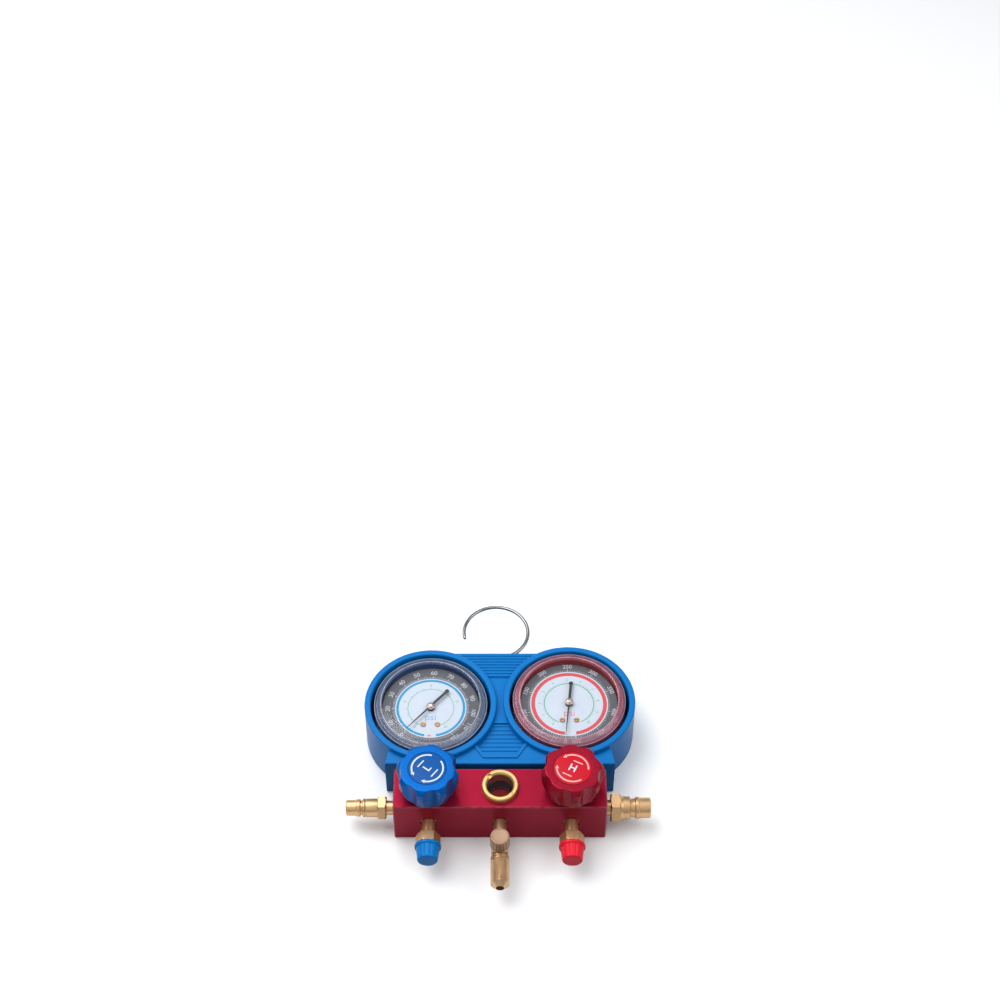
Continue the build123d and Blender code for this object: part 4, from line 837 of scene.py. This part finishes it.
    def window(self, side, stand):
        """Clear moulded window: a flat disc, a sloped rim and two thin pale rings along it that paint the
        bright highlight lines of its edges.
        """
        outer, inner, edge = 34.3, 33.05, 29.6
        shape = Shape()
        shape.lathe([(0, WINDOW_TOP), (edge, WINDOW_TOP)], steps=192, matrix=stand)
        shape.lathe([(edge, WINDOW_BACK), (0, WINDOW_BACK)], steps=192, matrix=stand)
        rim = softened([
            (edge, WINDOW_TOP), (edge + 0.4, 18.12, 0.1), (30.8, 17.95, 0.3), (32.2, 16.95, 0.25),
            (32.8, 16.8, 0.2), (34.2, 15.5, 0.5), (outer, 14.8, 0.3), (outer, 8.0, 0.2), (inner, 8.0, 0.2),
            (inner, 13.8, 0.3), (outer - 4.1, WINDOW_BACK, 0.8), (edge, WINDOW_BACK)], 5)
        # The rim faces take the rim tint, which paints the case's colour and the shade seen through it.
        shape.lathe(rim, steps=192, finish=1, matrix=stand)
        # Two thin pale rings on the rim: painted highlight lines.
        for radius, height, size in ((30.1, 18.05, 0.2), (34.0, 15.45, 0.22)):
            painted_glint = [(radius + size * cos(pi * n / 4), height + size * sin(pi * n / 4)) for n in range(8)]
            shape.lathe(painted_glint, steps=192, closed=True, finish=2, matrix=stand)
        finishes = [finish(name) for name in ("clear_lens", f"{side}_rim", f"{side}_bead")]
        stand_in(shape.piece(f"{side}_gauge_window", finishes, 50), "manifold", f"{side}_gauge_lens",
                 slot="clear_lens")


class MANIFOLD_OT_fittings(bpy.types.Operator):
    """Builds the hose ports, thread caps, charging port and parking posts"""
    bl_idname = "manifold.fittings"
    bl_label = "Fittings"

    def execute(self, context):
        for side, sign in SIDES:
            stand = place((sign * STATION, -BLOCK_HALF[1], PORT_Z), (0, -1, 0))
            self.hose_port(side, stand)
            self.thread_cap(side, stand)
        self.charging_port()
        self.service_cap()
        self.sight_dish()
        self.low_post()
        self.high_post()
        return {"FINISHED"}

    def hexagon(self, shape, across, low, high, stand, inner):
        """Wrench hexagon with its corners turned down at both ends."""
        corner = across / sqrt(3)
        drop = corner - across / 2
        face, slope = corner - drop - 0.2, drop * 0.62
        profile = [(inner, low), (face, low), (corner, low + slope), (corner, high - slope), (face, high),
                   (inner, high)]
        shape.lathe(divided(profile, 0.5), hexagonal(across), steps=120, closed=True, matrix=stand)

    def hose_port(self, side, stand):
        """Side port: a neck from the block, a hexagon and the flare thread."""
        body = Shape()
        profile = softened(SCREWED_END + [(3.8, 8.3), (3.8, 15.0), (4.75, 15.0), (4.75, 15.8)])
        profile += thread_rings(FLARE_RADIUS, 16.4, 22.2, FLARE_PITCH)
        profile += [(4.95, 22.8), (4.65, 22.8), (3.25, 24.2), (2.4, 24.2)]
        body.lathe(profile, threaded(FLARE_PITCH, 0.62, 16.6, 22.4), steps=96, closed=True, matrix=stand)
        self.hexagon(body, 12.5, 8.2, 15.0, stand, 3.0)
        made = body.piece(f"{side}_hose_port", [finish("brass")], 30)
        stand_in(made, "manifold", f"{side}_port_fitting", slot="brass")

    def thread_cap(self, side, stand):
        """Moulded cap with finger flutes that fade out below its rounded end."""
        mouth, end = 15.3, 25.8

        def fluted(radius, height, angle):
            if radius < 5.0 or not mouth + 2.0 < height:
                return radius
            swing = (angle % 36) - 18
            groove = max(0.0, 1 - abs(swing) / 5.5)
            fade = min(1.0, (height - mouth - 2.0) / 0.5) * min(1.0, max(0.0, (end - 0.3 - height) / 1.2))
            return radius - 0.38 * groove * groove * (3 - 2 * groove) * fade

        profile = softened([
            (5.65, mouth, 0.15), (7.75, mouth, 0.3), (7.75, mouth + 2.0, 0.6), (6.95, mouth + 2.0, 0.3),
            (6.65, mouth + 4.5), (6.35, mouth + 6.5), (6.15, end - 2.0), (5.9, end, 1.2), (0, end)])
        inside = [(0, end - 1.3), (4.75, end - 1.3), (4.75, mouth + 7.8), (5.65, mouth + 7.8),
                  (5.65, mouth + 0.1)]
        cap = Shape().lathe(divided(profile, 0.7) + inside, fluted, steps=180, closed=True, matrix=stand)
        dye = f"cap_{DIALS[side].colour}"
        made = cap.piece(f"{side}_thread_cap", [finish(dye)], 40)
        stand_in(made, f"{side}_port_cap", f"{side}_port_cap", slot=dye)

    def charging_port(self):
        """Tee with the service stub facing forward and the long flare thread."""
        stand = place((0, -BLOCK_HALF[1], PORT_Z), (0, -1, 0))
        body = Shape()
        profile = softened(SCREWED_END + [
            (3.8, 12.0, 0.3), (4.6, 12.8, 0.3), (4.6, 23.5, 0.2), (5.55, 23.5, 0.3), (5.55, 24.5, 0.2),
            (4.75, 24.5, 0.1), (4.75, 25.3, 0.1)])
        profile += thread_rings(FLARE_RADIUS, 25.9, 40.9, FLARE_PITCH)
        profile += [(4.95, 41.5), (4.65, 41.5), (2.65, 43.5), (2.4, 43.5)]
        body.lathe(profile, threaded(FLARE_PITCH, 0.62, 26.2, 40.9), steps=96, closed=True, matrix=stand)
        column = softened([(0, -6.0), (4.7, -6.0, 0.2), (5.2, -5.5, 0.2), (5.2, 3.0, 0.1), (5.5, 3.2, 0.2),
                           (5.5, 4.6, 0.3), (3.85, 4.6, 0.1)])
        column += thread_rings(3.85, 4.9, 12.2, STUB_PITCH)
        column += [(3.45, 12.6), (2.5, 12.6), (2.5, 2.0), (0, 2.0)]
        stub = place((0, STUB_Y, PORT_Z))
        body.lathe(column, threaded(STUB_PITCH, 0.35, 5.2, 12.0), steps=96, matrix=stub)
        made = body.piece("charging_port", [finish("centre_brass")], 30)
        stand_in(made, "manifold", "centre_fitting", slot="centre_brass")

    def service_cap(self):
        """Knurled brass cap of the service stub."""
        low, high = (corner.z / MM - PORT_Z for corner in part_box("service_cap"))

        def knurled(radius, height, angle):
            if radius < 5.0 or not low + 0.5 < height < high - 1.3:
                return radius
            groove = max(0.0, 1 - abs(angle % 20 - 10) / 4.6)
            return radius - 0.42 * groove ** 0.7

        profile = softened([
            (3.9, low), (5.4, low, 0.1), (5.7, low + 0.4, 0.1), (5.7, low + 0.7), (5.7, high - 1.5),
            (5.7, high - 1.1), (5.7, high - 0.5, 0.2), (5.2, high, 0.2), (4.6, high),
            (4.3, high - 0.25, 0.1), (0, high - 0.25), (0, high - 1.2), (3.9, high - 1.2)])
        cap = Shape().lathe(profile, knurled, steps=216, closed=True, matrix=place((0, STUB_Y, PORT_Z)))
        made = cap.piece("service_cap_knurled", [finish("centre_brass_z")], 35)
        stand_in(made, "service_cap", "service_cap", slot="centre_brass")

    def sight_dish(self):
        """Bowl in the chamber under the sight glass, in a red much lighter than the block's dye: a painted
        glint in the shaded chamber.
        """
        centre, rim, depth, floor_z = middle("sight_glass"), 6.3, 7.0, 14.5
        curve = [(rim * n / 12, floor_z + depth * (n / 12) ** 2.2) for n in range(13)]
        profile = curve + [(radius, height - 0.6) for radius, height in curve[::-1]]
        dish = Shape().lathe(profile, steps=96, matrix=place((centre.x, centre.y, 0)))
        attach(dish.piece("sight_dish", [finish("chamber_red")], 50), "manifold")

    def low_post(self):
        """Slim parking post of the low side."""
        rim, waist = 5.45, 4.2
        self.parking_post("low", 13.0, 4.7, 9.8, [
            (waist, 0.02), (waist, 4.7, 0.2), (waist, 9.8), (rim, 9.8, 0.2),
            (rim, 16.7, 0.15), (rim - 0.35, 17.1, 0.15), (rim, 17.5, 0.15), (rim, 18.6, 0.2),
            (rim - 1.1, 18.9, 0.2), (rim - 1.1, 19.9, 0.2), (rim - 0.3, 20.2, 0.2), (rim - 0.3, 22.2, 0.2),
            (rim - 0.8, 22.6, 0.2), (rim - 0.8, 28.1, 0.25), (rim - 1.3, 28.6, 0.15), (3.2, 28.6, 0.1),
            (3.0, 28.4), (3.0, 19.6), (0, 19.6)])

    def high_post(self):
        """Stout parking post of the high side."""
        rim, waist = 6.75, 4.6
        self.parking_post("high", 16.0, 2.9, 8.8, [
            (waist, 0.02), (waist, 2.9, 0.2), (waist, 8.8), (rim + 0.9, 8.8, 0.2),
            (rim, 10.3, 0.3), (rim, 14.2, 0.3), (5.5, 14.9, 0.25), (5.5, 17.3, 0.25), (6.5, 17.8, 0.25),
            (6.5, 19.6, 0.2), (6.0, 20.0, 0.2), (6.0, 26.1, 0.25), (5.5, 26.6, 0.15), (3.2, 26.6, 0.1),
            (3.0, 26.4), (3.0, 17.6), (0, 17.6)])

    def parking_post(self, side, across, neck, shoulder, turned):
        """Coupler post: its screwed end, a hexagon from neck to shoulder and the turned profile."""
        sign = dict(SIDES)[side]
        stand = place((sign * BLOCK_HALF[0], POST_Y, POST_Z), (sign, 0, 0))
        body = Shape().lathe(softened([(4.0, -8.0), (4.0, 0.0)] + turned), steps=128, matrix=stand)
        self.hexagon(body, across, neck, shoulder, stand, 3.6)
        made = body.piece(f"{side}_parking_post", [finish("brass_x")], 30)
        stand_in(made, "manifold", f"{side}_post", slot="brass")


class MANIFOLD_OT_hook(bpy.types.Operator):
    """Builds the polished wire hook"""
    bl_idname = "manifold.hook"
    bl_label = "Hook"

    def execute(self, context):
        made = self.wire(self.path(), 1.15).piece("hook_wire", [finish("hook_steel")], 40)
        stand_in(made, "hook", "hook", slot="hook_steel")
        return {"FINISHED"}

    def path(self):
        """Middle line of the wire: the open ring from its tip, the bend and the shank down to its seat."""
        radius, ring_middle, turn, shank_end = 20.2, Vector((-2.5, 126.4)), -70.0, 88.0
        path = [ring_middle + Vector(polar(radius, 195.0 - 265.0 * n / 60)) for n in range(61)]
        end = path[-1]
        heading = radians(90 + turn)
        bend = end.x / (1 - sin(heading))
        bend_y = end.y - bend * cos(heading)
        for n in range(1, 13):
            angle = heading + (pi / 2 - heading) * n / 12
            path.append(Vector((bend * (1 - sin(angle)), bend_y + bend * cos(angle))))
        return path + [Vector((0, shank_end))]

    def wire(self, path, radius, sides=24):
        """Round wire swept along a flat path at the port line, its first end rounded."""
        points, rings = [], []
        for index, spot in enumerate(path):
            run = (path[min(index + 1, len(path) - 1)] - path[max(index - 1, 0)]).normalized()
            normal = Vector((-run.y, run.x))
            for scale, ahead in ((0.35, 0.0), (0.75, 0.3), (1.0, 0.95)) if index == 0 else ((1.0, 0.0),):
                where = spot + run * (ahead * radius)
                rings.append(range(len(points), len(points) + sides))
                for step in range(sides):
                    across, up = polar(radius * scale, 360 * step / sides)
                    points.append((*(where + normal * across), PORT_Z + up))
        faces = [list(rings[0])[::-1], list(rings[-1])]
        for low, high in zip(rings, rings[1:]):
            faces += [[low[s], low[(s + 1) % sides], high[(s + 1) % sides], high[s]] for s in range(sides)]
        return Shape().add(points, faces)


class MANIFOLD_OT_stage(bpy.types.Operator):
    """Sets the pale floor, the soft lamps, the world and the camera"""
    bl_idname = "manifold.stage"
    bl_label = "Stage"

    def execute(self, context):
        corners = [(x * FLOOR_HALF, y * FLOOR_HALF) for x, y in SQUARE]
        floor = Shape().prism(corners, -20.0, -0.05).piece("floor", [self.floor_finish()])
        self.lamp("key", (-0.45, 0.35, 1.0), 1.0, 13.0)
        self.lamp("fill", (0.75, 0.0, 0.8), 0.7, 3.5)
        self.lamp("front", (-0.25, -0.8, 0.8), 0.6, 0.6)
        context.scene.world = self.sky()
        lens = bpy.data.cameras.new("camera")
        lens.lens, lens.sensor_width = 72.0, 36.0
        camera = bpy.data.objects.new("camera", lens)
        camera.location = CAMERA_PLACE
        camera.rotation_euler = (radians(CAMERA_TILT), 0.0, 0.0)
        context.scene.collection.objects.link(camera)
        context.scene.camera = camera
        context.scene.view_settings.view_transform = "Standard"
        return {"FINISHED"}

    def sky(self):
        """Soft light that fades from overhead to the horizon, white where it is seen directly."""
        world = bpy.data.worlds.new("studio")
        world.use_nodes = True
        back = world.node_tree.nodes["Background"]
        paint = Finish("sky", world.node_tree)
        height = paint.axes("Generated")[2]
        seen = paint.rays()[0]
        glow = ((height + 0.15).clipped() * 0.5 + 0.16 + seen).clipped()
        shade = paint.blend(glow, (0.0, 0.0, 0.0), (0.95, 0.97, 1.0))
        paint.tree.links.new(shade.socket, back.inputs["Color"])
        return world

    def floor_finish(self):
        """Pale matt floor that shows white and throws back only part of the light."""
        paint = Finish("floor")
        seen, mirrored, through = paint.rays()
        grain = paint.noise(3.0, 3)
        shade = paint.blend((seen + mirrored + through).clipped(), (0.20, 0.20, 0.21), (0.90, 0.905, 0.915))
        paint.set(Base_Color=shade, Roughness=0.8, Normal=paint.bump(grain, 0.02), Specular_IOR_Level=0.2)
        return paint.material

    def lamp(self, name, where, size, power):
        """Soft square lamp turned towards the manifold."""
        light = bpy.data.lights.new(name, "AREA")
        light.size, light.energy = size, power
        holder = bpy.data.objects.new(name, light)
        holder.location = where
        aim = Vector((0, 0.04, 0)) - Vector(where)
        holder.rotation_euler = aim.to_track_quat("-Z", "Y").to_euler()
        bpy.context.scene.collection.objects.link(holder)


OPERATORS = (MANIFOLD_OT_finishes, MANIFOLD_OT_handwheels, MANIFOLD_OT_gauges, MANIFOLD_OT_fittings,
             MANIFOLD_OT_hook, MANIFOLD_OT_stage)


class MANIFOLD_PT_panel(bpy.types.Panel):
    """Sidebar panel with the settings and the builders"""
    bl_idname = "MANIFOLD_PT_panel"
    bl_label = "Manifold gauge"
    bl_space_type = "VIEW_3D"
    bl_region_type = "UI"
    bl_category = "Manifold"

    def draw(self, context):
        settings = context.scene.manifold
        for group in (settings.colours, settings.wheel, settings.gauge):
            box = self.layout.box()
            for name in group.__annotations__:
                box.prop(group, name)
        for operator in OPERATORS:
            self.layout.operator(operator.bl_idname)


CLASSES = (ManifoldColours, ManifoldWheel, ManifoldGauge, ManifoldSettings, *OPERATORS,
           MANIFOLD_PT_panel)


def register():
    for cls in CLASSES:
        bpy.utils.register_class(cls)
    bpy.types.Scene.manifold = PointerProperty(type=ManifoldSettings)


def unregister():
    del bpy.types.Scene.manifold
    for cls in reversed(CLASSES):
        bpy.utils.unregister_class(cls)


def main():
    register()
    for operator in OPERATORS:
        getattr(bpy.ops.manifold, operator.bl_idname.split(".")[1])()


if __name__ == "__main__":
    main()
